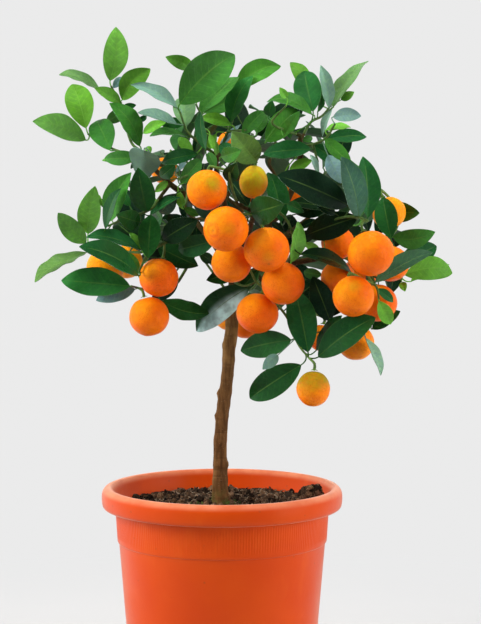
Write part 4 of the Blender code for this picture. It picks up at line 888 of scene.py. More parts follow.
# Slivers of leaves that show between the others: base and tip pixels, width and tone
SLIVERS = [
    (86, 136, 78, 126, 5, "grey"), (127, 163, 102, 160, 6, "light"), (141, 156, 130, 149, 6, "mid"),
    (150, 153, 147, 146, 7, "light"), (122, 108, 136, 105, 7, "dark"), (138, 122, 147, 116, 6, "dark"),
    (318, 112, 322, 86, 6, "dark"), (332, 108, 322, 136, 7, "grey"), (326, 130, 351, 126, 7, "light"),
    (318, 172, 311, 155, 6, "grey"), (302, 140, 313, 138, 7, "mid"), (220, 150, 240, 124, 6, "grey"),
    (188, 137, 150, 135, 7, "mid"), (260, 292, 249, 292, 5, "grey"), (176, 172, 186, 162, 5, "grey"),
    (402, 282, 405, 291, 8, "light"), (408, 283, 419, 299, 9, "light"), (287, 98, 280, 88, 8, "light"),
    (300, 103, 285, 95, 8, "mid"), (113, 88, 122, 77, 8, "grey"), (155, 192, 168, 181, 8, "light"),
    (142, 251, 130, 232, 8, "light"), (178, 190, 183, 210, 9, "light"), (184, 208, 199, 216, 8, "mid"),
    (216, 134, 208, 150, 9, "light"), (341, 100, 354, 92, 9, "light"), (380, 288, 395, 302, 8, "dark"),
    (297, 261, 322, 268, 9, "mid"), (320, 252, 304, 243, 9, "light"), (322, 275, 303, 272, 11, "mid"),
    (210, 134, 213, 149, 6, "light"), (214, 140, 217, 156, 6, "light"), (100, 198, 104, 208, 5, "light"),
    (238, 160, 219, 144, 15, "dark"), (331, 208, 290, 202, 13, "deep"), (184, 232, 158, 243, 18, "dark"),
    (160, 238, 190, 246, 14, "deep"), (318, 232, 296, 240, 12, "deep"), (273, 165, 257, 160, 9, "deep"),
    (336, 214, 318, 207, 8, "deep"), (300, 228, 318, 220, 8, "deep"), (284, 232, 272, 222, 8, "deep"),
]

# Fine leaf
LEAF_THICKNESS = 0.4 * MM
RIM_HALF = 0.3 * MM
VEIN_RATE = 8.8
VEIN_SLANT = 1.5
VEIN_WIDTH = 0.16
QUILT = 0.20 * MM
RIB_RADIUS = 0.62 * MM
RIB_SIDES = 6
RIB_GROOVE = 0.25 * MM
RIB_GROOVE_REACH = 0.7 * MM
BELLY = 0.10
CURL_START = 0.72
# What the third part of a point's mark says: a top with a painted sheen, the underside, and the midrib
PAINTED_SHEEN_MARK = 0.3
UNDER_MARK = 1.0
RIB_MARK = 2.0
# What each leaf draws its own form and colour from
FULLNESS = (0.76, 0.92)
ARCHING = (0.6, 1.7)
SWAY = 0.02
CURL = 0.05
FOLDING = (1.0, 2.2)
CREASE = 1.2 * MM
WAVE = (0.25, 0.9)
WAVE_TURNS = (1.6, 3.2)
TONE_SPREAD = (0.85, 1.18)
BLUE_SPREAD = (0.8, 1.3)
# Painted shade: how much lighter one half of a leaf is than the other, standing in for the shading of its
# fold, and the most its tone changes from base to tip
PAINTED_FOLD_SHADE = (0.06, 0.17)
END_CONTRAST = 0.22

# Fine twig and calyx, in the second material of a leafy stem
TWIG_SLOT = 1
KNOT = 0.24
KNOT_FINENESS = 120
SEPALS = 5
SEPAL_THICKNESS = 0.5 * MM
CALYX_LIFT = 0.35 * MM
CALYX_GRID = (30, 5)

# Colours as linear red, green and blue
LEAF_TONES = {
    # Painted shade: a near-black green for leaves inside the crown, where its own shade falls
    "deep": (0.004, 0.021, 0.007),
    "dark": (0.012, 0.085, 0.017),
    # Painted sheen: this leaf's top also gets a bluish-white reflection painted over part of it
    "gloss": (0.012, 0.065, 0.020),
    "back": (0.016, 0.080, 0.018),
    "mid": (0.042, 0.170, 0.022),
    "lush": (0.026, 0.165, 0.026),
    "olive": (0.085, 0.185, 0.030),
    "sage": (0.130, 0.270, 0.105),
    "lime": (0.200, 0.540, 0.085),
    # Painted reflection: a bluish grey standing in for the pale sky mirrored on these leaves
    "soft": (0.090, 0.200, 0.050),
    "slate": (0.108, 0.208, 0.162),
    "ink": (0.008, 0.056, 0.012),
    "dusk": (0.034, 0.100, 0.052),
    # Painted sheen: dark green with a bluish tint standing in for a faint reflection
    "fresh": (0.040, 0.190, 0.024),
    # Pale bluish grey: the own colour of the leaves that show their undersides, and a painted reflection of
    # the pale sky on the others
    "grey": (0.185, 0.335, 0.270),
    "light": (0.135, 0.390, 0.042),
}
CALYX_TONE = (0.10, 0.20, 0.03)
PEEL = (0.87, 0.128, 0.002)
PEEL_DEEP = (0.78, 0.080, 0.002)
PEEL_YELLOW = (0.95, 0.38, 0.006)
PEEL_GREEN = (0.43, 0.42, 0.010)
TWIG_TONE = (0.060, 0.120, 0.022)
BACK_TWIG_TONE = (0.045, 0.085, 0.02)
# Tints over the bark's own colours
STEM_FOOT_TONE = (0.92, 0.72, 0.44)
STEM_TOP_TONE = (1.30, 1.15, 0.66)
# Painted shade: the boughs are darkened for the shade they lie in inside the crown
BOUGH_PAINTED_SHADE = (0.42, 0.38, 0.25)
BRANCHLET_TONE = (0.32, 0.34, 0.18)
# Soil, what lies on it, and moss
SOIL_TONE = (0.040, 0.025, 0.016)
CLOD_TONES = [(0.062, 0.036, 0.021), (0.115, 0.067, 0.040), (0.018, 0.011, 0.007), (0.155, 0.087, 0.047)]
CHIP_TONES = [(0.38, 0.22, 0.13), (0.52, 0.35, 0.23), (0.23, 0.12, 0.07)]
STRAW_TONES = [(0.20, 0.13, 0.085), (0.12, 0.08, 0.05), (0.34, 0.25, 0.17)]
MOSS_TONES = [(0.060, 0.095, 0.018), (0.085, 0.120, 0.022), (0.040, 0.065, 0.014)]
# Side the key light falls on, where the fruits are painted yellower as a highlight
PAINTED_HIGHLIGHT_SIDE = (-0.60, -0.52, 0.61)
# How green an orange is round its calyx, or how yellow it is all over
GREEN_TOP = {"orange_02": 1.0, "orange_12": 0.90}
YELLOWED = {"orange_10": 0.85, "orange_15": 0.9, "orange_11": 0.9, "orange_21": 0.8, "orange_02": 0.6,
            "orange_09": 0.15, "orange_13": 0.1, "orange_16": 0.20, "orange_03": 0.15, "orange_01": 0.20,
            "orange_08": 0.0, "orange_07": 0.0, "orange_06": 0.0, "orange_19": 0.0, "orange_25": 0.6,
            "orange_20": 0.55, "orange_12": 0.35}
# How dark the green of a fruit is
GREEN_DEPTH = {"orange_12": 0.54, "orange_02": 1.12, "orange_01": 0.85}
# Olive smudges: the pixel each is centred on, its size as an angle and its strength
SMUDGES = {"orange_01": (213, 181, 0.46, 0.85), "orange_03": (229, 228, 0.30, 0.25),
           "orange_04": (267, 256, 0.30, 0.28), "orange_17": (354, 284, 0.36, 0.40),
           "orange_02": (249, 176, 1.45, 0.95), "orange_12": (306, 378, 0.80, 0.65)}
# Stretch of a fruit along its calyx axis
STRETCH = {"orange_02": 1.06, "orange_09": 0.98, "orange_12": 0.97}
# Stretch and yellow that the other fruits draw from
FLATNESS = (0.93, 0.98)
COMMON_YELLOW = 0.18
# Form of an orange as shares of its radius and angles from its calyx: the dimple and the shoulder
# round it
DIMPLE = 0.055
DIMPLE_REACH = 0.24
SHOULDER = 0.012
SHOULDER_ANGLE = 0.55
SHOULDER_REACH = 0.2
# Blossom end: the pit's depth and reach and the height of the swelling round it, where it is faint
# and where it is deep, with a ring cut round the deep one
FAINT_SCAR = (0.022, 0.22, 0.004)
DEEP_SCAR = (0.060, 0.10, 0.012)
SWELLING_ANGLE = 0.42
SWELLING_REACH = 0.11
RING_ANGLE = 0.28
RING_REACH = 0.07
RING_DEPTH = 0.034
# Lumps of an orange by height, fineness and seed
LUMPS = [(0.013, 1.6, 0), (0.006, 4.0, 40), (0.0022, 13.0, 80)]
# Girth of a fruit that is slimmer than round
GIRTH = {"orange_12": 0.92}
# Blossom end of a fruit, as a direction
SCARS = {"orange_03": (-0.57, -0.80, -0.06)}


def smoothstep(low, high, x):
    """A smooth rise from 0 to 1 between two values."""
    t = np.clip((x - low) / (high - low), 0, 1)
    return t * t * (3 - 2 * t)


def hump(x, middle, reach):
    """A smooth hump of height 1 round a middle."""
    return np.exp(-((x - middle) / reach) ** 2)


def blend(tone, other, share):
    """A share of the other tone over the first."""
    return np.asarray(tone) * (1 - share) + np.asarray(other) * share


class Piece:
    """Points, faces and point attributes gathered for one mesh."""

    def __init__(self):
        self.points, self.faces, self.slots = [], [], []
        self.marks, self.tones = [], []
        self.count = 0

    def add(self, points, faces, mark, tone, slot=0):
        """mark is a vector at each point that the material reads, tone is its colour."""
        points = np.asarray(points, float).reshape(-1, 3)
        number = len(points)
        self.points.append(points)
        self.faces += [tuple(index + self.count for index in face) for face in faces]
        self.slots += [slot] * len(faces)
        for held, value in ((self.marks, mark), (self.tones, tone)):
            held.append(np.broadcast_to(np.asarray(value, float), (number, 3)))
        self.count += number

    def object(self, name, materials, sharp=None):
        mesh = bpy.data.meshes.new(name)
        mesh.from_pydata(np.concatenate(self.points).tolist(), [], self.faces)
        mesh.polygons.foreach_set("material_index", self.slots)
        for finish in materials:
            mesh.materials.append(finish)
        mark = mesh.attributes.new("mark", "FLOAT_VECTOR", "POINT")
        mark.data.foreach_set("vector", np.concatenate(self.marks).ravel())
        tone = mesh.attributes.new("tone", "FLOAT_COLOR", "POINT")
        colours = np.concatenate(self.tones)
        tone.data.foreach_set("color", np.c_[colours, np.ones(len(colours))].ravel())
        mesh.shade_smooth()
        if sharp:
            mesh.set_sharp_from_angle(angle=math.radians(sharp))
        mesh.update()
        made = bpy.data.objects.new(name, mesh)
        bpy.context.scene.collection.objects.link(made)
        return made


def grid_faces(rows, columns, start=0, flip=False, wrap=False):
    """Quads over a grid of points stored row by row."""
    faces = []
    for row in range(rows - 1):
        for column in range(columns if wrap else columns - 1):
            a = start + row * columns + column
            b = start + row * columns + (column + 1) % columns
            face = (a, b, b + columns, a + columns)
            faces.append(face[::-1] if flip else face)
    return faces


def tube(path, radii, sides):
    """Rings of points round a path, with the faces between them and a closed far end."""
    path = np.array([tuple(point) for point in path])
    ways = np.gradient(path, axis=0)
    ways /= np.linalg.norm(ways, axis=1)[:, None]
    side = np.array(Vector(ways[0]).orthogonal().normalized())
    angles = np.arange(sides) * 2 * math.pi / sides
    rings = []
    for point, way, radius in zip(path, ways, radii):
        side = side - way * side.dot(way)
        side /= np.linalg.norm(side)
        other = np.cross(way, side)
        rings.append(point + radius * (np.cos(angles)[:, None] * side + np.sin(angles)[:, None] * other))
    points = np.concatenate(rings + [path[-1:] + ways[-1] * radii[-1] * 0.5])
    faces = grid_faces(len(path), sides, wrap=True)
    last = (len(path) - 1) * sides
    faces += [(last + k, last + (k + 1) % sides, last + sides) for k in range(sides)]
    return points, faces


def leaf_topology(rows, columns):
    """Faces of the top, the underside and the rim between them."""
    count = rows * columns
    faces = grid_faces(rows, columns) + grid_faces(rows, columns, count, flip=True)
    loop = [row * columns for row in range(rows)]
    loop += [(rows - 1) * columns + k for k in range(1, columns)]
    loop += [row * columns + columns - 1 for row in range(rows - 2, -1, -1)]
    loop += list(range(columns - 2, 0, -1))
    for a, b in zip(loop, loop[1:] + loop[:1]):
        faces.append((a, b, b + count, a + count))
    return faces


def leaf_grid(rows, columns):
    """Where the rows and columns of a leaf lie along and across it, with its faces."""
    even = np.linspace(0, 1, rows + 1)
    t = (0.55 * even + 0.45 * (0.5 - 0.5 * np.cos(math.pi * even)))[:, None]
    return t, np.linspace(-1, 1, columns + 1)[None, :], leaf_topology(rows + 1, columns + 1)


FINE_GRID = leaf_grid(32, 10)
PLAIN_GRID = leaf_grid(14, 6)


def fine_leaf(piece, blade, draw, grid):
    """A leaf with its veins, fold, waved edge, petiole and midrib."""
    t, s, leaf_faces = grid
    rows = len(t) - 1
    base, along, across, up = (np.array(v) for v in (blade.base, blade.along, blade.across, blade.up))
    length, width = blade.length, blade.width
    scale = length / (60 * MM)
    fullness = draw.uniform(*FULLNESS)
    reach = 0.5 * width * (4 * t * (1 - t)) ** fullness * (1 + BELLY * (0.5 - t))
    reach = np.maximum(reach, RIM_HALF)
    x = reach * s
    arch = blade.arch * draw.uniform(*ARCHING)
    sway = draw.uniform(-SWAY, SWAY)
    curl = draw.uniform(0.0, CURL)
    rise = length * (arch * 4 * t * (1 - t) - curl * smoothstep(CURL_START, 1.0, t) ** 2)
    drift = length * sway * 4 * t * (1 - t)
    slope = np.gradient(rise[:, 0], t[:, 0]) / length
    normal = up - along * slope[:, None]
    normal /= np.linalg.norm(normal, axis=1)[:, None]
    bend = np.array(blade.bow) * (4 * t * (1 - t))
    middle = base + along * (length * t) + up * rise + across * drift + bend
    fold = FOLD * draw.uniform(*FOLDING)
    lift = fold * (np.sqrt(x * x + CREASE * CREASE) - CREASE)
    wave = draw.uniform(*WAVE) * MM * scale
    for sign in (-1, 1):
        turns, start = draw.uniform(*WAVE_TURNS), draw.uniform(0, 6.28)
        part = np.clip(s * sign, 0, 1) ** 2
        lift = lift + wave * part * np.sin(2 * math.pi * turns * t + start) * np.sin(math.pi * t)
    phase = t * VEIN_RATE - np.abs(s) * VEIN_SLANT
    groove = hump(phase, np.round(phase), VEIN_WIDTH)
    lift = (lift - QUILT * scale * groove * np.clip(np.abs(s) * 4, 0, 1) * (1 - np.abs(s) ** 3)
            * np.sin(math.pi * t))
    lift = lift - RIB_GROOVE * hump(x, 0, RIB_GROOVE_REACH)
    top = middle[:, None, :] + across * x[:, :, None] + normal[:, None, :] * lift[:, :, None]
    under = top - normal[:, None, :] * LEAF_THICKNESS
    ones = np.ones_like(x)
    # Marks the top that gets the painted sheen
    shine = PAINTED_SHEEN_MARK if blade.tone == "gloss" else 0
    mark_top = np.stack([t * ones, s * ones, shine * ones], -1)
    mark_under = np.stack([t * ones, s * ones, UNDER_MARK * ones], -1)
    tone = np.array(LEAF_TONES[blade.tone]) * draw.uniform(*TONE_SPREAD)
    tone = tone * (1, 1, draw.uniform(*BLUE_SPREAD))
    own = random.Random(round(length / MM * 1000))
    # Painted shade across the midrib, one half lighter and the other darker as a fold would be lit, with a
    # gradient from base to tip
    painted_half_shade = own.uniform(*PAINTED_FOLD_SHADE) * own.choice((-1, 1)) * np.tanh(s * 5)
    shade = (1 + painted_half_shade + own.uniform(-END_CONTRAST, END_CONTRAST) * (t - 0.5)) * ones
    tones = np.tile(shade.reshape(-1, 1), (2, 1)) * tone
    piece.add(np.concatenate([top.reshape(-1, 3), under.reshape(-1, 3)]), leaf_faces,
              np.concatenate([mark_top.reshape(-1, 3), mark_under.reshape(-1, 3)]), tones)
    root = np.array(blade.root)
    control = base - along * 0.45 * np.linalg.norm(base - root)
    spots, radii, ups = [], [], []
    thick = RIB_RADIUS * min(1.15, 0.65 + 0.35 * scale)
    for k in range(6):
        q = k / 6
        spots.append((1 - q) ** 2 * root + 2 * q * (1 - q) * control + q * q * base)
        radii.append(thick * (1.1 - 0.15 * q))
        ups.append(normal[0])
    last = rows - max(2, rows // 6)
    for row in range(0, last, 2):
        share = row / last
        sunk = LEAF_THICKNESS + thick * (0.15 - 0.3 * share) * (1 - share)
        spots.append(middle[row] - normal[row] * sunk)
        radii.append(thick * (0.95 - 0.82 * share ** 0.7))
        ups.append(normal[row])
    points, faces = tube(spots, radii, RIB_SIDES)
    rib_tone = np.array(LEAF_TONES[blade.tone]) * 0.9 + np.array(CALYX_TONE) * 0.25
    piece.add(points, faces, (0.5, 0.0, RIB_MARK), rib_tone)


def fine_twig(piece, path, start, end, tone):
    """A green twig on a smooth curve, with slight swellings."""
    curve = smooth_path([Vector(p) for p in path], 3 * MM)
    count = len(curve)
    radii = []
    for k in range(count):
        share = k / max(1, count - 1)
        knot = KNOT * max(0, noise.noise(curve[k] * KNOT_FINENESS))
        radii.append((start + (end - start) * share) * (1 + knot))
    points, faces = tube(curve, radii, 8)
    piece.add(points, faces, (0, 0, 3), tone, TWIG_SLOT)


def fine_calyx(piece, middle, axis, radius, draw):
    """The green star that holds an orange, hugging its skin."""
    side = np.array(axis.orthogonal().normalized())
    axis = np.array(axis)
    other = np.cross(axis, side)
    centre = np.array(middle) + axis * (radius + CALYX_LIFT)
    sides, rings = CALYX_GRID
    spin = draw.uniform(0, 6.28)
    points = []
    for layer in (SEPAL_THICKNESS, 0):
        for ring in range(rings):
            share = (ring + 0.15) / (rings - 1 + 0.15)
            for k in range(sides):
                angle = 2 * math.pi * k / sides
                lobe = 0.60 + 0.40 * abs(math.cos(SEPALS / 2 * angle)) ** 0.8
                r = CALYX_RADIUS * 1.15 * share * (1 - share * (1 - lobe))
                drop = r * r / (2 * radius)
                height = layer * (1.3 - share) - drop + SEPAL_THICKNESS * (1 - share) ** 2 * (layer > 0)
                points.append(centre + axis * height + side * r * math.cos(angle + spin)
                              + other * r * math.sin(angle + spin))
    count = rings * sides
    faces = grid_faces(rings, sides, wrap=True, flip=True) + grid_faces(rings, sides, count, wrap=True)
    last = (rings - 1) * sides
    faces += [(last + k, last + (k + 1) % sides, count + last + (k + 1) % sides, count + last + k)
              for k in range(sides)]
    faces += [tuple(range(sides)), tuple(range(count + sides - 1, count - 1, -1))]
    piece.add(points, faces, (0, 0, 3), CALYX_TONE, TWIG_SLOT)


def bumps(points, scale, seed):
    """Smooth noise at each point, about -1 to 1."""
    shift = Vector((seed * 7.1, seed * 3.7, seed * 5.3))
    return np.array([noise.noise(Vector(p) * scale + shift) for p in points])


def relief(points, rows, index=0):
    """Lumps of several kinds, each with its height, fineness and seed."""
    return sum(height * bumps(points, fineness, index + seed) for height, fineness, seed in rows)


class Nodes:
    """A shader tree under construction: a call adds a node and returns its output."""

    def __init__(self, tree):
        self.tree = tree

    def add(self, kind, inputs=(), out=0, **settings):
        made = self.tree.nodes.new("ShaderNode" + kind)
        for key, value in settings.items():
            setattr(made, key, value)
        for key, value in dict(inputs).items():
            self.feed(made.inputs[key], value)
        return made.outputs[out]

    def feed(self, socket, value):
        if isinstance(value, bpy.types.NodeSocket):
            self.tree.links.new(value, socket)
        elif isinstance(value, tuple) and len(value) == 3 and socket.type == "RGBA":
            socket.default_value = (*value, 1)
        else:
            socket.default_value = value

    def math(self, operation, a, b=0.0, c=0.0):
        return self.add("Math", {0: a, 1: b, 2: c}, operation=operation)

    def times(self, a, b):
        return self.math("MULTIPLY", a, b)

    def plus(self, a, b):
        return self.math("ADD", a, b)

    def ramp(self, value, low, high, to_low=0.0, to_high=1.0):
        return self.add("MapRange", {0: value, 1: low, 2: high, 3: to_low, 4: to_high},
                        interpolation_type="SMOOTHSTEP")

    def split(self, vector):
        return self.add("SeparateXYZ", {0: vector}).node.outputs


class Look(Nodes):
    """A material under construction."""

    def __init__(self, name):
        self.material = bpy.data.materials.new(name)
        self.material.use_nodes = True
        super().__init__(self.material.node_tree)
        self.shader = self.tree.nodes["Principled BSDF"]
        self.output = self.tree.nodes["Material Output"]

    def set(self, **inputs):
        """Feeds the shader's sockets, with _ for each space in a name."""
        for key, value in inputs.items():
            self.feed(self.shader.inputs[key.replace("_", " ")], value)

    def mix(self, factor, a, b, blend="MIX"):
        return self.add("Mix", {0: factor, 6: a, 7: b}, out=2, data_type="RGBA", blend_type=blend)

    def veil(self, colour, mask, share, other):
        """The colour with another over it where a mask shows, as strong as its share."""
        return self.mix(self.times(mask, share), colour, other)

    def shaded(self, colour, shade):
        """The colour times a grey."""
        return self.mix(1.0, colour, self.add("CombineXYZ", {0: shade, 1: shade, 2: shade}), "MULTIPLY")

    def noise(self, scale, detail=3.0, vector=None, roughness=0.5):
        return self.add("TexNoise", {"Vector": vector or self.place(), "Scale": scale, "Detail": detail,
                                     "Roughness": roughness})

    def voronoi(self, scale, feature="F1", vector=None):
        return self.add("TexVoronoi", {"Vector": vector or self.place(), "Scale": scale}, feature=feature)

    def place(self):
        return self.add("TexCoord", out=3)

    def stretched(self, x, y, z):
        return self.add("Mapping", {"Vector": self.place(), "Scale": (x, y, z)})

    def attribute(self, name, out):
        return self.add("Attribute", out=out, attribute_name=name)

    def bump(self, strength, distance, *parts):
        """A relief from the sum of some heights, each with its weight."""
        height = None
        for part, weight in parts:
            part = part if weight == 1 else self.times(part, weight)
            height = self.plus(height, part) if height else part
        return self.add("Bump", {"Height": height, "Strength": strength, "Distance": distance})


def leaf_look():
    """Glossy on top with paler veins, matt below, and light through the blade; one leaf gets a painted
    bluish-white sheen over part of its top.
    """
    look = Look("leaf")
    t, s, part = look.split(look.attribute("mark", 1))
    tone = look.attribute("tone", 0)
    under = look.math("COMPARE", part, UNDER_MARK, 0.4)
    rib = look.math("GREATER_THAN", part, RIB_MARK - 0.4)
    painted_sheen_mask = look.math("COMPARE", part, PAINTED_SHEEN_MARK, 0.1)
    side = look.math("ABSOLUTE", s)
    wobble = look.times(look.math("SUBTRACT", look.noise(90.0, 2.0), 0.5), 0.5)
    phase = look.math("SUBTRACT", look.times(t, VEIN_RATE), look.times(side, VEIN_SLANT))
    phase = look.plus(phase, wobble)
    near = look.math("PINGPONG", phase, 0.5)
    vein = look.ramp(near, 0.09, 0.02)
    vein = look.times(vein, look.ramp(side, 0.98, 0.55, 0.15, 1.0))
    net = look.ramp(look.voronoi(420.0, "DISTANCE_TO_EDGE"), 0.10, 0.02)
    midrib = look.ramp(side, 0.055, 0.02)
    midrib = look.times(midrib, look.ramp(t, 1.0, 0.75))
    patches = look.ramp(look.noise(24.0, 2.5), 0.3, 0.7, 0.70, 1.34)
    fine = look.ramp(look.noise(330.0, 2.0), 0.3, 0.7, 0.90, 1.10)
    base = look.shaded(tone, patches)
    base = look.mix(1.0, base, look.add("CombineXYZ", {0: fine, 1: fine, 2: 1.0}), "MULTIPLY")
    pale = look.mix(0.28, base, (0.28, 0.50, 0.10))
    veined = look.mix(1.0, base, (1.75, 1.45, 1.60), "MULTIPLY")
    top = look.veil(base, vein, 0.42, veined)
    top = look.veil(top, net, 0.05, pale)
    top = look.veil(top, look.ramp(side, 0.93, 1.0), 0.30, pale)
    top = look.veil(top, midrib, 0.75, pale)
    # Painted sheen: a bluish-white reflection painted over one half of the sheened leaf's top
    painted_sheen = look.ramp(look.noise(110.0, 4.0), 0.34, 0.66, 0.50, 1.0)
    painted_sheen = look.times(painted_sheen, look.ramp(s, 0.45, -0.30))
    painted_sheen = look.times(look.times(painted_sheen, painted_sheen_mask), look.ramp(t, 0.0, 0.25))
    top = look.veil(top, painted_sheen, 0.90, (0.66, 0.97, 0.98))
    below = look.mix(0.25, base, (0.17, 0.29, 0.16))
    below = look.veil(below, vein, 0.15, (0.08, 0.19, 0.06))
    colour = look.mix(under, top, below)
    colour = look.mix(rib, colour, tone)
    rough = look.ramp(look.noise(60.0, 3.0), 0.3, 0.7, 0.24, 0.36)
    rough = look.plus(rough, look.times(under, 0.25))
    relief = look.bump(0.4, 0.0005, (vein, -0.25), (net, -0.10), (look.noise(140.0, 3.0), 0.55),
                       (look.noise(900.0, 1.0), 0.10))
    look.set(Base_Color=colour, Roughness=rough, Normal=relief, Specular_IOR_Level=0.16)
    glow = look.add("BsdfTranslucent", {"Color": look.mix(1.0, colour, (1.6, 1.5, 0.5), "MULTIPLY")})
    both = look.add("MixShader", {0: 0.14, 1: look.shader.outputs[0], 2: glow})
    look.tree.links.new(both, look.output.inputs["Surface"])
    return look.material


def twig_look():
    look = Look("green_twig")
    tone = look.attribute("tone", 0)
    streaks = look.ramp(look.noise(260.0, 3.0), 0.35, 0.7, 0.7, 1.35)
    colour = look.shaded(tone, streaks)
    spots = look.ramp(look.voronoi(700.0), 0.22, 0.08)
    colour = look.veil(colour, spots, 0.35, (0.22, 0.20, 0.10))
    look.set(Base_Color=colour, Roughness=look.ramp(look.noise(200.0), 0.3, 0.7, 0.45, 0.65),
             Normal=look.bump(0.5, 0.0004, (look.noise(500.0, 3.0), 1), (spots, 0.5)))
    return look.material


def peel_look():
    look = Look("peel")
    tone = look.attribute("tone", 0)
    cloud = look.ramp(look.noise(55.0, 3.0), 0.3, 0.72)
    colour = look.veil(tone, cloud, 0.30, PEEL_DEEP)
    light = look.ramp(look.noise(38.0, 2.0, look.stretched(1.0, 1.0, 1.3)), 0.5, 0.75)
    colour = look.veil(colour, light, 0.12, PEEL_YELLOW)
    blotch = look.ramp(look.noise(270.0, 3.0), 0.42, 0.66)
    colour = look.veil(colour, blotch, 0.20, (0.66, 0.075, 0.002))
    cells = look.voronoi(950.0)
    pore = look.ramp(cells, 0.34, 0.05)
    colour = look.veil(colour, pore, 0.42, (0.56, 0.055, 0.002))
    fleck = look.ramp(look.noise(420.0, 2.0), 0.68, 0.78)
    colour = look.veil(colour, fleck, 0.15, (0.35, 0.16, 0.02))
    look.set(Base_Color=colour, Roughness=look.ramp(look.noise(150.0), 0.3, 0.7, 0.34, 0.5),
             Normal=look.bump(0.75, 0.0005, (pore, -1.5), (look.noise(240.0, 3.0), 1.2)))
    look.set(Specular_IOR_Level=0.17, Subsurface_Weight=0.08, Subsurface_Scale=0.003,
             Subsurface_Radius=(1.0, 0.25, 0.03))
    return look.material


def bark_look():
    look = Look("bark")
    tone = look.attribute("tone", 0)
    long = look.stretched(1.0, 1.0, 0.16)
    grain = look.noise(420.0, 5.0, long, 0.65)
    wide = look.noise(120.0, 4.0, look.stretched(1.0, 1.0, 0.35))
    colour = look.mix(look.ramp(grain, 0.32, 0.70), (0.080, 0.046, 0.026), (0.170, 0.098, 0.053))
    colour = look.mix(look.ramp(wide, 0.45, 0.72, 0.0, 0.55), colour, (0.28, 0.18, 0.10))
    ring = look.ramp(look.noise(60.0, 4.0, look.stretched(0.25, 0.25, 3.2)), 0.50, 0.66)
    colour = look.veil(colour, ring, 0.45, (0.075, 0.043, 0.024))
    colour = look.mix(1.0, colour, tone, "MULTIPLY")
    mark = look.split(look.attribute("mark", 1))
    green = look.times(mark[0], look.ramp(look.noise(160.0, 4.0), 0.38, 0.6))
    colour = look.mix(green, colour, (0.055, 0.085, 0.018))
    dots = look.ramp(look.voronoi(330.0, vector=look.stretched(1.0, 1.0, 2.0)), 0.20, 0.08)
    colour = look.veil(colour, dots, 0.35, (0.34, 0.23, 0.14))
    relief = look.bump(0.55, 0.0011, (grain, 1), (wide, 0.8), (dots, 0.35), (ring, -0.6))
    look.set(Base_Color=colour, Roughness=look.ramp(grain, 0.3, 0.7, 0.95, 0.75), Normal=relief,
             Specular_IOR_Level=0.25)
    return look.material


def pot_look():
    look = Look("orange_plastic")
    cloud = look.ramp(look.noise(14.0, 4.0), 0.35, 0.68)
    colour = look.veil((0.58, 0.052, 0.002), cloud, 0.45, (0.67, 0.080, 0.003))
    swirl = look.ramp(look.noise(45.0, 5.0, look.stretched(1.0, 1.0, 0.5)), 0.55, 0.75)
    colour = look.veil(colour, swirl, 0.14, (0.82, 0.17, 0.015))
    scuff = look.ramp(look.noise(120.0, 5.0, look.stretched(1.0, 1.0, 0.25), 0.7), 0.66, 0.78)
    colour = look.veil(colour, scuff, 0.20, (0.88, 0.27, 0.08))
    dust = look.ramp(look.voronoi(75.0), 0.10, 0.03)
    colour = look.veil(colour, dust, 0.4, (0.24, 0.06, 0.02))
    # Painted highlight: a paler, patchy band round the top of the lip, standing in for the light on it
    rim = look.ramp(look.split(look.place())[2], 0.1695, 0.1740)
    rim = look.times(rim, look.ramp(look.noise(60.0, 4.0), 0.25, 0.7, 0.40, 0.75))
    colour = look.mix(rim, colour, (0.84, 0.31, 0.16))
    relief = look.bump(0.25, 0.0006, (look.noise(260.0, 3.0), 0.5), (look.noise(35.0, 3.0), 0.9))
    rough = look.ramp(look.noise(30.0, 4.0), 0.3, 0.7, 0.30, 0.42)
    rough = look.plus(rough, look.times(scuff, 0.15))
    look.set(Base_Color=colour, Roughness=rough, Normal=relief)
    look.set(Specular_IOR_Level=0.18, Sheen_Weight=0.35, Sheen_Roughness=0.35, Sheen_Tint=(1.0, 0.80, 0.60))
    return look.material


def soil_look():
    look = Look("soil")
    tone = look.attribute("tone", 0)
    crumb = look.noise(900.0, 5.0, roughness=0.7)
    shade = look.ramp(crumb, 0.3, 0.72, 0.20, 1.7)
    colour = look.shaded(tone, shade)
    fibre = look.ramp(look.noise(380.0, 4.0, look.stretched(0.4, 1.6, 1.0)), 0.60, 0.72)
    colour = look.veil(colour, fibre, 0.35, (0.20, 0.13, 0.08))
    relief = look.bump(0.9, 0.0012, (crumb, 1), (look.noise(350.0, 4.0), 1.2))
    look.set(Base_Color=colour, Roughness=0.95, Normal=relief, Specular_IOR_Level=0.12)
    return look.material


def moss_look():
    look = Look("moss")
    tone = look.attribute("tone", 0)
    shade = look.ramp(look.noise(1200.0, 3.0), 0.3, 0.7, 0.5, 1.6)
    colour = look.shaded(tone, shade)
    look.set(Base_Color=colour, Roughness=0.9, Normal=look.bump(0.8, 0.0006, (look.noise(1500.0, 3.0), 1)))
    return look.material


# Trunk detail: height of each knob, its side as an angle, its size and its spread up the stem
KNOBS = [(393, 180, 1.5, 3.2), (416, 175, 1.2, 2.6), (464, 0, 1.3, 3.4), (440, 250, 0.9, 4.0),
         (360, 300, 1.0, 3.5), (480, 100, 1.2, 4.0), (405, 40, 0.8, 3.0), (376, 90, 1.1, 3.0),
         (345, 200, 0.9, 3.0)]
# Wrinkles of the bark by height, fineness and seed, the flare of the foot, and the moss up it
WRINKLES = [(0.32 * MM, 1.0, 3), (0.16 * MM, 2.6, 5)]
FLARE = 0.55 * MM
FLARE_REACH = 9 * MM
MOSSY = 0.75
MOSSY_REACH = 11 * MM
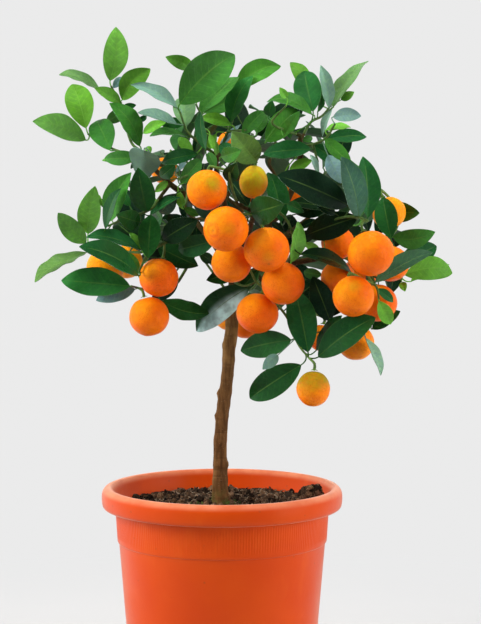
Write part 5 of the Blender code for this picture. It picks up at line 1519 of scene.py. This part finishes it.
# The lip's rolled section as radius and height in mm, from its underside outside to the wall inside
LIP_ROWS = [(97.0, 157.6), (98.3, 158.3), (99.2, 159.6), (99.65, 161.5), (99.9, 164), (100, 167),
            (99.8, 169.4), (99.2, 171.4), (98.2, 173.0), (96.9, 174.2), (95.4, 174.85), (94.0, 175.0),
            (92.8, 174.8), (91.8, 174.2), (91.1, 173.2), (90.4, 171.4), (89.6, 168.6), (88.7, 165),
            (87.5, 162)]
# Pot's ribs and how finely it is turned
POT_TURNS = 960
RIB_COUNT = 240
RIB_DEPTH = 0.32 * MM
# Soil: its gap to the wall, its heap's crest, its bumps by size and fineness, how finely it is
# turned, and how many lumps lie on it
SOIL_GAP = 2.5 * GAP
HEAP_CREST = 5 * MM
HEAP_CREST_SPREAD = 11 * MM
SOIL_BUMPS = [(1.5 * MM, 95), (1.0 * MM, 260), (0.6 * MM, 620)]
SOIL_RINGS = 46
SOIL_TURNS = 180
CLODS = 1450
CHIPS = 330
FIBRES = 300
MOSS_TUFTS = 420
HEAP_CLODS = 200
HEAP_TUFTS = 90

# Inner leaves: how many are tried, their length in mm, the size of a checked cell in pixels, how many
# open cells one has to fill, and how many of its cells may lie outside the crown or hide a leaf
INNER_TRIALS = 9000
INNER_LENGTH = (36, 58)
CELL = 3
LEAST_NEW = 3
MOST_OUTSIDE = 1
MOST_HIDING = 2
# A depth in metres behind all of the crown
FAR = 9

# Studio: the ground's tone, and the floor with the span over which it fades into it
GROUND = (0.83, 0.83, 0.83)
FLOOR_TONE = (0.43, 0.43, 0.43)
FLOOR_RADIUS = 1.6
FLOOR_DROP = 0.4 * MM
FLOOR_FADE = (0.22, 0.60)


def finish_piece(made, node):
    """Says what a piece rides on and hides the solid it stands for."""
    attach(made, "root")
    if node:
        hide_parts(node)


def build_orange(name, middle, radius, axis, index, ball, finish):
    """One orange: oblate, dimpled at the calyx, with a blossom scar and faint lumps."""
    unit, faces = np.array(ball[0]), ball[1]
    draw = random.Random(900 + index)
    up = np.array(axis)
    height = unit @ up
    stretch = STRETCH.get(name, draw.uniform(*FLATNESS))
    r = np.ones(len(unit))
    near = np.arccos(np.clip(height, -1, 1))
    ripe = 0.35 if name in GIRTH else 1.0
    r -= DIMPLE * ripe * hump(near, 0, DIMPLE_REACH)
    r += SHOULDER * ripe * hump(near, SHOULDER_ANGLE, SHOULDER_REACH)
    scar = Vector(SCARS[name]).normalized() if name in SCARS else -axis
    away = np.arccos(np.clip(unit @ np.array(scar), -1, 1))
    deep = name in SCARS
    pit, pit_reach, swelling = DEEP_SCAR if deep else FAINT_SCAR
    faint = 1.0 if deep else ripe
    r -= pit * faint * hump(away, 0, pit_reach)
    ragged_ring = away - RING_ANGLE + 0.04 * bumps(unit, 3.4, index + 220)
    groove = hump(ragged_ring, 0, RING_REACH) * deep * (0.7 + 0.4 * bumps(unit, 2.6, index + 240))
    r += swelling * faint * hump(away, SWELLING_ANGLE, SWELLING_REACH) - RING_DEPTH * groove
    r += relief(unit, LUMPS, index)
    points = unit * r[:, None]
    flat = points - (points @ up)[:, None] * up
    girth = GIRTH.get(name, 1.0) if stretch < 1 else 1.94 - stretch
    points = flat * girth + (points @ up * stretch)[:, None] * up
    points = points * (radius * 0.995) + np.array(middle)
    yellow = YELLOWED.get(name, draw.uniform(0.0, COMMON_YELLOW))
    tones = np.repeat(blend(PEEL, PEEL_YELLOW, yellow)[None, :], len(unit), 0)
    # Random yellow patches, plus a painted highlight: yellower towards the lit side
    yellow_patches_and_highlight = 0.16 * smoothstep(-0.2, 0.6, bumps(unit, 1.1, index + 120))
    painted_highlight = unit @ np.array(PAINTED_HIGHLIGHT_SIDE) + 0.12 * bumps(unit, 2.0, index)
    yellow_patches_and_highlight = (yellow_patches_and_highlight + 0.55 * smoothstep(0.30, 1.0, painted_highlight))[:, None]
    tones = blend(tones, PEEL_YELLOW, yellow_patches_and_highlight)
    green = GREEN_TOP.get(name, 0.0)
    olive = np.array(PEEL_GREEN) * GREEN_DEPTH.get(name, 0.9)
    if green:
        spread = 0.55 + 0.85 * green
        ragged = near + 0.22 * bumps(unit, 2.2, index + 160) + 0.16 * bumps(unit, 7.0, index + 170)
        share = (green * smoothstep(spread + 0.5, spread - 0.45, ragged))[:, None]
        tones = blend(tones, olive, share)
    if name in SMUDGES:
        u, v, spread, strength = SMUDGES[name]
        column, row = pixel(middle)
        size = radius / pixel_size(middle)
        du, dv = (u - column) / size, (row - v) / size
        spot = Vector((du, -math.sqrt(max(0, 1 - du * du - dv * dv)), dv)).normalized()
        far = np.arccos(np.clip(unit @ np.array(spot), -1, 1)) + 0.10 * bumps(unit, 3.0, index + 200)
        share = (strength * smoothstep(spread * 1.5, spread * 0.2, far))[:, None]
        tones = blend(tones, olive, share)
    # Painted shade: the peel darkened along the ring groove round the blossom end
    tones = tones * (1 - 0.55 * groove[:, None]) + np.array(PEEL_DEEP) * 0.55 * groove[:, None]
    pit = hump(away, 0, 0.05)[:, None]
    tones = tones * (1 - 0.8 * pit) + np.array((0.18, 0.10, 0.02)) * 0.8 * pit
    piece = Piece()
    piece.add(points, faces, (0, 0, 0), tones)
    finish_piece(piece.object("fruit_" + name[-2:], [finish]), name)


def build_trunk(trunk, boughs, branchlets, finish):
    """The bare stem with its knobs, the boughs and the branchlets, as one grown piece."""
    piece = Piece()
    spots = [Vector(point) for point in trunk]
    curve = smooth_path(spots, 2.4 * MM)
    heights = np.array([point.z for point in spots])
    order = np.argsort(heights)
    radii = np.interp([p.z for p in curve], heights[order], (np.array(TRUNK_RADII) * MM)[order])
    sides = 30
    points, faces = tube(curve, radii, sides)
    knobs = [(place(221, row, 0).z, math.radians(angle), size * MM, spread * MM)
             for row, angle, size, spread in KNOBS]
    surface = POT_HEIGHT - SOIL_DEPTH
    middles = np.repeat(np.array([tuple(p) for p in curve]), sides, axis=0)
    ring = points[:-1]
    out = ring - middles
    size = np.linalg.norm(out, axis=1)[:, None]
    out = out / size
    angle = np.arctan2(out[:, 1], out[:, 0])
    push = np.zeros(len(ring))
    for z, turn, high, spread in knobs:
        swing = np.arccos(np.clip(np.cos(angle - turn), -1, 1))
        push += high * np.exp(-((ring[:, 2] - z) / spread) ** 2 - (swing / 0.75) ** 2)
        push += 0.25 * high * hump(ring[:, 2], z, spread * 0.8)
    wrinkled = ring * (260, 260, 90)
    push += relief(wrinkled, WRINKLES)
    push += FLARE * hump(ring[:, 2], surface, FLARE_REACH) * (1 + 0.6 * np.sin(3 * angle + 1))
    points[:-1] = ring + out * push[:, None]
    level = (points[:, 2] - surface) / 0.17
    fade = smoothstep(0.35, 1.0, level)[:, None]
    tone = blend(STEM_FOOT_TONE, STEM_TOP_TONE, fade)
    mossy = MOSSY * hump(points[:, 2], surface, MOSSY_REACH)
    marks = np.stack([mossy, 0 * mossy, 0 * mossy], -1)
    piece.add(points, faces, marks, tone)
    for path, sizes in boughs.values():
        curve = smooth_path([Vector(p) for p in path], 4 * MM)
        steps = np.interp(np.linspace(0, 1, len(curve)), np.linspace(0, 1, len(sizes)), sizes)
        points, faces = tube(curve, steps, 14)
        points = points + 0.3 * MM * bumps(points * 300, 1.0, 7)[:, None] * np.array((0.6, 0.6, 0.2))
        piece.add(points, faces, (0.15, 0, 0), BOUGH_PAINTED_SHADE)
    for path in branchlets.values():
        curve = smooth_path([Vector(p) for p in path], 4 * MM)
        points, faces = tube(curve, np.linspace(*BRANCHLET_RADII, len(curve)), 10)
        piece.add(points, faces, (0.3, 0, 0), BRANCHLET_TONE)
    finish_piece(piece.object("trunk_wood", [finish]), "trunk")


def build_stem(name, twigs, stalks, blades, layout, index, finishes):
    """A leafy stem: twigs, fine leaves, fruit stalks and calyxes, as one grown piece."""
    draw = random.Random(300 + index)
    piece = Piece()
    green = np.array(TWIG_TONE if name in STEMS else BACK_TWIG_TONE)
    for path in twigs:
        fine_twig(piece, path, *TWIG_RADII, green)
    for fruit, (owner, path) in stalks.items():
        if owner != name:
            continue
        middle, radius, axis = layout.fruits[fruit]
        fine_twig(piece, path, STALK_RADIUS * 1.05, STALK_RADIUS * 1.5, green * 1.5)
        fine_calyx(piece, middle, axis, radius, draw)
    for blade in blades:
        fine_leaf(piece, blade, draw, PLAIN_GRID if blade.tone == "deep" else FINE_GRID)
    finish_piece(piece.object("leafy_" + name, finishes, 50), name)


def pot_profile():
    """The pot's section from the middle of its underside round the lip to the middle of its floor,
    as rows of radius, height and how deep the ribs are."""
    def turned(radius, height, rows):
        """Rows of millimetres past a radius and a height."""
        return [(radius + r * MM, height + z * MM, 0) for r, z in rows]

    lip_bottom = POT_HEIGHT - LIP_DROP
    slope = (BODY_TOP_RADIUS - BASE_RADIUS) / STEP_HEIGHT
    collar_foot = BODY_TOP_RADIUS + STEP_DEPTH
    profile = turned(0, 0, [(0, 1.2), (20, 1.2), (55, 1.2)])
    profile += turned(BASE_RADIUS, 0, [(-9, 1.2), (-8, 0.2), (-7.2, 0), (-3, 0), (-1.4, 0.35), (-0.5, 1.2)])
    profile += turned(BASE_RADIUS, 0, [(slope * 2.4, 2.4)])
    profile += turned(BASE_RADIUS, 0, [(slope * z, z) for z in range(4, int(STEP_HEIGHT / MM) - 2, 6)])
    profile += turned(BODY_TOP_RADIUS, STEP_HEIGHT, [(-0.1, -1.2), (0.1, -0.5), (0.75, -0.1)])
    profile += turned(collar_foot, STEP_HEIGHT, [(-0.2, 0.4), (0, 1.0)])
    low, high = STEP_HEIGHT + 1.0 * MM, lip_bottom - 2.2 * MM
    for k in range(1, 12):
        share = k / 12
        rib = 0 if share < 0.16 else 1
        profile.append((collar_foot + (COLLAR_RADIUS - BODY_TOP_RADIUS - STEP_DEPTH) * share,
                        low + (high - low) * share, rib))
    profile.append((COLLAR_RADIUS, high, 0.4))
    profile += turned(COLLAR_RADIUS, lip_bottom, [(0.3, -0.6), (1.3, 0.4), (3, 0.5)])
    profile += turned(0, 0, LIP_ROWS)
    profile += [(inner_radius(z * MM), z * MM, 0) for z in (158, 152, 140, 100, 50, 6)]
    profile += turned(inner_radius(POT_FLOOR), POT_FLOOR, [(-2, 0.6), (-5, 0)])
    return profile + turned(0, POT_FLOOR, [(40, 0), (0, 0)])


def build_pot(finish):
    """The hollow pot, with fine ribs round its collar and drain holes through its floor."""
    profile = pot_profile()
    turns = np.arange(POT_TURNS) * 2 * math.pi / POT_TURNS
    ripple = np.cos(turns * RIB_COUNT)
    points = []
    for radius, height, rib in profile:
        r = np.full(POT_TURNS, radius) - RIB_DEPTH * rib * (0.5 - 0.5 * ripple)
        if radius > 60 * MM:
            r = (r + 0.12 * MM * np.sin(2 * turns + 1 + height * 9)
                 + 0.05 * MM * np.sin(7 * turns + height * 60))
        points.append(np.stack([r * np.cos(turns), r * np.sin(turns), np.full(POT_TURNS, height)], -1))
    faces = grid_faces(len(profile), POT_TURNS, wrap=True)
    piece = Piece()
    piece.add(np.concatenate(points), faces, (0, 0, 0), (1, 1, 1))
    made = piece.object("pot_shell", [finish], 38)
    bm = bmesh.new()
    bm.from_mesh(made.data)
    bmesh.ops.remove_doubles(bm, verts=[v for v in bm.verts if v.co.to_2d().length < 1 * MM], dist=0.01 * MM)
    bm.to_mesh(made.data)
    bm.free()
    for number in range(DRAIN_COUNT):
        angle = 2 * math.pi * (number + 0.5) / DRAIN_COUNT
        spot = (DRAIN_RING * math.cos(angle), DRAIN_RING * math.sin(angle), 0)
        bpy.ops.mesh.primitive_cylinder_add(vertices=48, radius=DRAIN_RADIUS, depth=20 * MM, location=spot)
        drill = bpy.context.object
        cut = made.modifiers.new("drain", "BOOLEAN")
        cut.object = drill
        cut.solver = "EXACT"
        bpy.context.view_layer.objects.active = made
        bpy.ops.object.modifier_apply(modifier=cut.name)
        bpy.data.objects.remove(drill)
    finish_piece(made, "pot")


def build_soil(soil_finish, moss_finish):
    """The compost with its crumbs, clods, chips and moss."""
    draw = random.Random(55)
    top = POT_HEIGHT - SOIL_DEPTH
    edge = inner_radius(top) - SOIL_GAP

    def surface(x, y):
        height = soil_height(x, y)
        spot = Vector((x, y, 0))
        for size, fineness in SOIL_BUMPS:
            height += size * noise.noise(spot * fineness)
        away = math.hypot(x - HEAP_PLACE[0] - 8 * MM, y - HEAP_PLACE[1] + 3 * MM)
        return height + HEAP_CREST * math.exp(-(away / HEAP_CREST_SPREAD) ** 2)

    piece = Piece()
    points = []
    angles = [2 * math.pi * k / SOIL_TURNS for k in range(SOIL_TURNS)]
    for ring in range(SOIL_RINGS):
        r = edge * (ring / (SOIL_RINGS - 1))
        for a in angles:
            x, y = r * math.cos(a), r * math.sin(a)
            points.append((x, y, surface(x, y)))
    for height in (top - 30 * MM, POT_FLOOR + GAP):
        r = inner_radius(height) - SOIL_GAP
        points += [(r * math.cos(a), r * math.sin(a), height) for a in angles]
    faces = grid_faces(SOIL_RINGS + 2, SOIL_TURNS, wrap=True, flip=True)
    faces.append(tuple(range((SOIL_RINGS + 1) * SOIL_TURNS, (SOIL_RINGS + 2) * SOIL_TURNS))[::-1])
    piece.add(points, faces, (0, 0, 0), SOIL_TONE)
    ball, grain = ball_mesh(2), ball_mesh(1)
    foot = place(*TRUNK_PATH[1])

    def clod(size, flat, points):
        """An angular lump: a ball cut by a few random planes."""
        ball = np.array(points)
        ways = np.array([Vector((draw.gauss(0, 1), draw.gauss(0, 1), draw.gauss(0, 1))).normalized()
                         for _ in range(draw.randint(7, 11))])
        reach = np.array([draw.uniform(0.45, 0.9) for _ in ways])
        cuts = reach / np.maximum(ball @ ways.T, 0.15)
        lump = ball * np.minimum(1.1, cuts.min(axis=1))[:, None]
        lump = lump * (1, draw.uniform(0.55, 1.0), draw.uniform(*flat))
        turn = Quaternion([draw.gauss(0, 1) for _ in range(4)]).normalized().to_matrix()
        return lump @ np.array(turn) * size

    def scatter(piece, count, sizes, tones, flat, spread=None, form=ball):
        """Lumps over the whole top, or spread round a place, between two sizes."""
        made = 0
        while made < count:
            if spread:
                x = draw.gauss(spread[0], spread[2])
                y = draw.gauss(spread[1], spread[2])
            else:
                r = edge * math.sqrt(draw.random())
                a = draw.uniform(0, 2 * math.pi)
                x, y = r * math.cos(a), r * math.sin(a)
            size = sizes[0] + (sizes[1] - sizes[0]) * draw.random() ** 2.6
            if math.hypot(x, y) + size > edge or math.hypot(x - foot.x, y - foot.y) < 6.5 * MM:
                continue
            shape = clod(size, flat, form[0]) + (x, y, surface(x, y) + size * draw.uniform(-0.1, 0.45))
            away = np.hypot(shape[:, 0], shape[:, 1])
            reach = np.minimum(1, edge / np.maximum(away, 1e-9))
            shape[:, 0] *= reach
            shape[:, 1] *= reach
            tone = np.array(draw.choice(tones)) * draw.uniform(0.6, 1.4)
            piece.add(shape, form[1], (0, 0, 0), tone)
            made += 1

    def fibres(piece, count):
        """Bits of root and straw that lie on the compost."""
        for _ in range(count):
            r, a, way = edge * 0.92 * math.sqrt(draw.random()), draw.uniform(0, 6.283), draw.uniform(0, 6.283)
            x, y = r * math.cos(a), r * math.sin(a)
            spots = []
            for _ in range(6):
                if math.hypot(x, y) > edge * 0.97 or math.hypot(x - foot.x, y - foot.y) < 8 * MM:
                    break
                spots.append(Vector((x, y, surface(x, y) + draw.uniform(0.2, 2.2) * MM)))
                way += draw.uniform(-0.6, 0.6)
                x += draw.uniform(1.2, 3.2) * MM * math.cos(way)
                y += draw.uniform(1.2, 3.2) * MM * math.sin(way)
            if len(spots) > 2:
                curve = smooth_path(spots, 1.2 * MM)
                points, faces = tube(curve, np.linspace(0.42, 0.18, len(curve)) * MM, 5)
                piece.add(points, faces, (0, 0, 0), draw.choice(STRAW_TONES))

    scatter(piece, CLODS, (0.9 * MM, 4.4 * MM), CLOD_TONES, (0.45, 0.9))
    scatter(piece, HEAP_CLODS, (1.2 * MM, 5.0 * MM), CLOD_TONES, (0.5, 0.9),
            (HEAP_PLACE[0] + 7 * MM, HEAP_PLACE[1] - 4 * MM, 9.5 * MM))
    scatter(piece, CHIPS, (0.7 * MM, 3.0 * MM), CHIP_TONES, (0.15, 0.4), form=grain)
    fibres(piece, FIBRES)
    finish_piece(piece.object("soil_crumbs", [soil_finish], 32), "soil")
    moss = Piece()
    scatter(moss, MOSS_TUFTS, (0.7 * MM, 1.9 * MM), MOSS_TONES, (0.6, 1.1), (foot.x, foot.y, 8.5 * MM))
    scatter(moss, HEAP_TUFTS, (0.7 * MM, 2.0 * MM), MOSS_TONES, (0.6, 1.1),
            (HEAP_PLACE[0] + 2 * MM, HEAP_PLACE[1] - 3 * MM, 7 * MM))
    finish_piece(moss.object("moss", [moss_finish]), None)


def build_studio():
    """A pale floor, a soft key from the upper left, side and back light, and the camera."""
    scene = bpy.context.scene
    scene.view_settings.view_transform = "Standard"
    world = bpy.data.worlds.new("studio")
    scene.world = world
    world.use_nodes = True
    sky = Nodes(world.node_tree)
    x, y, z = sky.split(sky.add("TexCoord"))
    # Soft fill for matt light: brighter to the left, to the right, from above and a little from below
    fill = sky.ramp(sky.math("ABSOLUTE", x), 0.2, 1.0, 0.15, 0.62)
    for way, low, high, most in ((x, -0.35, -1.0, 0.50), (z, 0.0, 1.0, 0.45), (z, 0.0, -0.7, 0.22)):
        fill = sky.plus(fill, sky.ramp(way, low, high, 0.0, most))
    # What shines back: dark in front and above, bright round the sides and behind
    shine = sky.times(sky.ramp(y, -0.30, 0.55, 0.03, 0.90), sky.ramp(z, 0.15, 0.75, 1.0, 0.10))
    for low, high, most in ((-0.30, -0.85, 0.75), (0.50, 0.95, 0.40)):
        shine = sky.plus(shine, sky.ramp(x, low, high, 0.0, most))
    rays = sky.add("LightPath").node.outputs
    strength = sky.add("Mix", {0: rays["Is Glossy Ray"], 2: fill, 3: shine}, data_type="FLOAT")
    glow = sky.add("Background", {"Strength": strength})
    ground = sky.add("Background", {"Color": GROUND})
    both = sky.add("MixShader", {0: rays["Is Camera Ray"], 1: glow, 2: ground})
    sky.tree.links.new(both, sky.tree.nodes["World Output"].inputs[0])

    bpy.ops.mesh.primitive_circle_add(vertices=96, radius=FLOOR_RADIUS, fill_type="NGON",
                                      location=(0, 0, -FLOOR_DROP))
    floor = bpy.context.object
    floor.name = "floor"
    look = Look("floor")
    x, y, _ = look.split(look.place())
    away = look.math("SQRT", look.plus(look.times(x, x), look.times(y, y)))
    clear = look.ramp(away, *FLOOR_FADE)
    look.set(Base_Color=FLOOR_TONE, Roughness=0.9)
    ground = look.add("Emission", {"Color": GROUND})
    far = look.add("MixShader", {0: look.add("LightPath"), 1: look.add("BsdfTransparent"), 2: ground})
    look.tree.links.new(look.add("MixShader", {0: clear, 1: look.shader.outputs[0], 2: far}),
                        look.output.inputs["Surface"])
    floor.data.materials.append(look.material)

    def area(name, place_at, aim, size, power, tint=(1, 1, 1)):
        light = bpy.data.lights.new(name, "AREA")
        light.shape = "RECTANGLE"
        light.size, light.size_y = size
        light.energy = power
        light.color = tint
        lamp = bpy.data.objects.new(name, light)
        scene.collection.objects.link(lamp)
        lamp.location = place_at
        lamp.rotation_euler = (Vector(aim) - Vector(place_at)).to_track_quat("-Z", "Y").to_euler()
        lamp.visible_camera = lamp.visible_glossy = False

    crown = (0.0, 0, 0.36)
    area("key", (-1.52, -0.50, 1.0), crown, (0.9, 1.2), 35, (1.0, 0.985, 0.95))
    area("right", (1.35, -0.55, 0.45), (0, 0, 0.25), (0.8, 1.2), 19)
    area("top", (0.1, 0.2, 1.7), crown, (0.8, 0.8), 22)
    area("behind", (0.0, 1.4, 0.75), (0, 0, 0.2), (1.4, 0.5), 10)

    lens = bpy.data.cameras.new("camera")
    lens.sensor_fit = "HORIZONTAL"
    lens.sensor_width = SENSOR
    lens.lens = FOCAL_PX / IMAGE_WIDTH * SENSOR
    lens.clip_start = 0.05
    camera = bpy.data.objects.new("camera", lens)
    scene.collection.objects.link(camera)
    camera.location = EYE
    camera.rotation_euler = (math.pi / 2 - PITCH, 0, 0)
    scene.camera = camera


def lay_out_slivers(layout, twigs, blades):
    """The slivers of leaves between the others, each on the stem whose twig is nearest."""
    for u0, v0, u1, v1, width, tone in SLIVERS:
        name = min(STEMS, key=lambda key: min(math.dist(pixel(spot), (u0, v0))
                                              for path in twigs[key] for spot in path))
        spec = leaf(u0, v0, u1, v1, width, tone)
        for slide in sorted(range(-24, 40, 3), key=abs):
            blade = blade_from_pixels(spec, twigs[name], slide, 0)
            if layout.crossings(name, *blade_mesh(blade, 0)) == (0, 0):
                blades[name].append(blade)
                layout.add_solid(name, *blade_mesh(blade), leafy=True)
                break


def cells_of(blade):
    """The cells of the front view that a leaf covers, each with its depth there."""
    found = {}
    for k in range(1, 13):
        t = k / 13
        middle = blade.base + blade.along * blade.length * t + blade.bow * 4 * t * (1 - t)
        for j in range(-4, 5):
            spot = middle + blade.across * (half_width(t) * blade.width * j / 4.4)
            u, v = pixel(spot)
            cell = (int(u // CELL), int(v // CELL))
            found[cell] = min(found.get(cell, FAR), spot.y)
    return found


def lay_out_inner(layout, twigs, blades):
    """Leaves deep in the crown, painted near-black as the crown's inner shade, where each fills the most of
    what still shows through.
    """
    draw = random.Random(71)
    seen = {}

    def cover(cells):
        for cell, depth in cells.items():
            seen[cell] = min(seen.get(cell, FAR), depth)

    for made in blades.values():
        for blade in made:
            cover(cells_of(blade))
    for middle, radius, _ in layout.fruits.values():
        u, v = pixel(middle)
        size = radius / pixel_size(middle)
        for du in np.arange(-size, size, CELL / 2):
            for dv in np.arange(-size, size, CELL / 2):
                if du * du + dv * dv < size * size:
                    cover({(int((u + du) // CELL), int((v + dv) // CELL)): middle.y})
    dense = {(u, v) for u in range(480 // CELL) for v in range(480 // CELL)
             if inside_dense(place((u + 0.5) * CELL, (v + 0.5) * CELL, 0))}

    def worth(cells):
        """How many open cells the leaf fills, or -1 where it shows outside or hides a leaf."""
        new = [cell for cell in cells if cell not in seen]
        outside = sum(cell not in dense for cell in new)
        hiding = sum(cell in seen and depth < seen[cell] for cell, depth in cells.items())
        return -1 if outside > MOST_OUTSIDE or hiding > MOST_HIDING else len(new) - outside

    trials = []
    names = list(twigs)
    for _ in range(INNER_TRIALS):
        name = draw.choice(names)
        path = draw.choice(twigs[name])
        index = draw.randrange(len(path) - 1)
        root = path[index].lerp(path[index + 1], draw.random())
        along = Vector((draw.gauss(0, 1), draw.gauss(0.3, 0.8), draw.gauss(0.1, 1))).normalized()
        wish = Vector((draw.gauss(0, 0.5), -0.8, draw.gauss(0.5, 0.5)))
        blade = plain_blade(root, along, wish, draw.uniform(*INNER_LENGTH) * MM, "deep")
        cells = cells_of(blade)
        score = worth(cells)
        if score >= LEAST_NEW:
            trials.append((score, len(trials), name, blade, cells))
    for _, _, name, blade, cells in sorted(trials, reverse=True):
        if worth(cells) < LEAST_NEW or layout.crossings(name, *blade_mesh(blade)) != (0, 0):
            continue
        blades[name].append(blade)
        layout.add_solid(name, *blade_mesh(blade), leafy=True)
        cover(cells)


def main():
    layout = Layout()
    for name, (u, v, size, depth, axis) in FRUITS.items():
        middle = place(u, v, depth)
        layout.add_fruit(name, middle, size * pixel_size(middle), axis)
    trunk, boughs, twigs, branchlets = lay_out_wood(layout)
    stalks = lay_out_stalks(layout, twigs)
    blades = lay_out_blades(layout, twigs)
    lay_out_slivers(layout, twigs, blades)
    lay_out_inner(layout, twigs, blades)
    peel, leaf_finish, twig_finish = peel_look(), leaf_look(), twig_look()
    ball = ball_mesh(5)
    for index, (name, (middle, radius, axis)) in enumerate(layout.fruits.items()):
        build_orange(name, middle, radius, axis, index, ball, peel)
    build_trunk(trunk, boughs, branchlets, bark_look())
    for index, name in enumerate(twigs):
        build_stem(name, twigs[name], stalks, blades[name], layout, index, [leaf_finish, twig_finish])
    build_pot(pot_look())
    build_soil(soil_look(), moss_look())
    build_studio()


main()
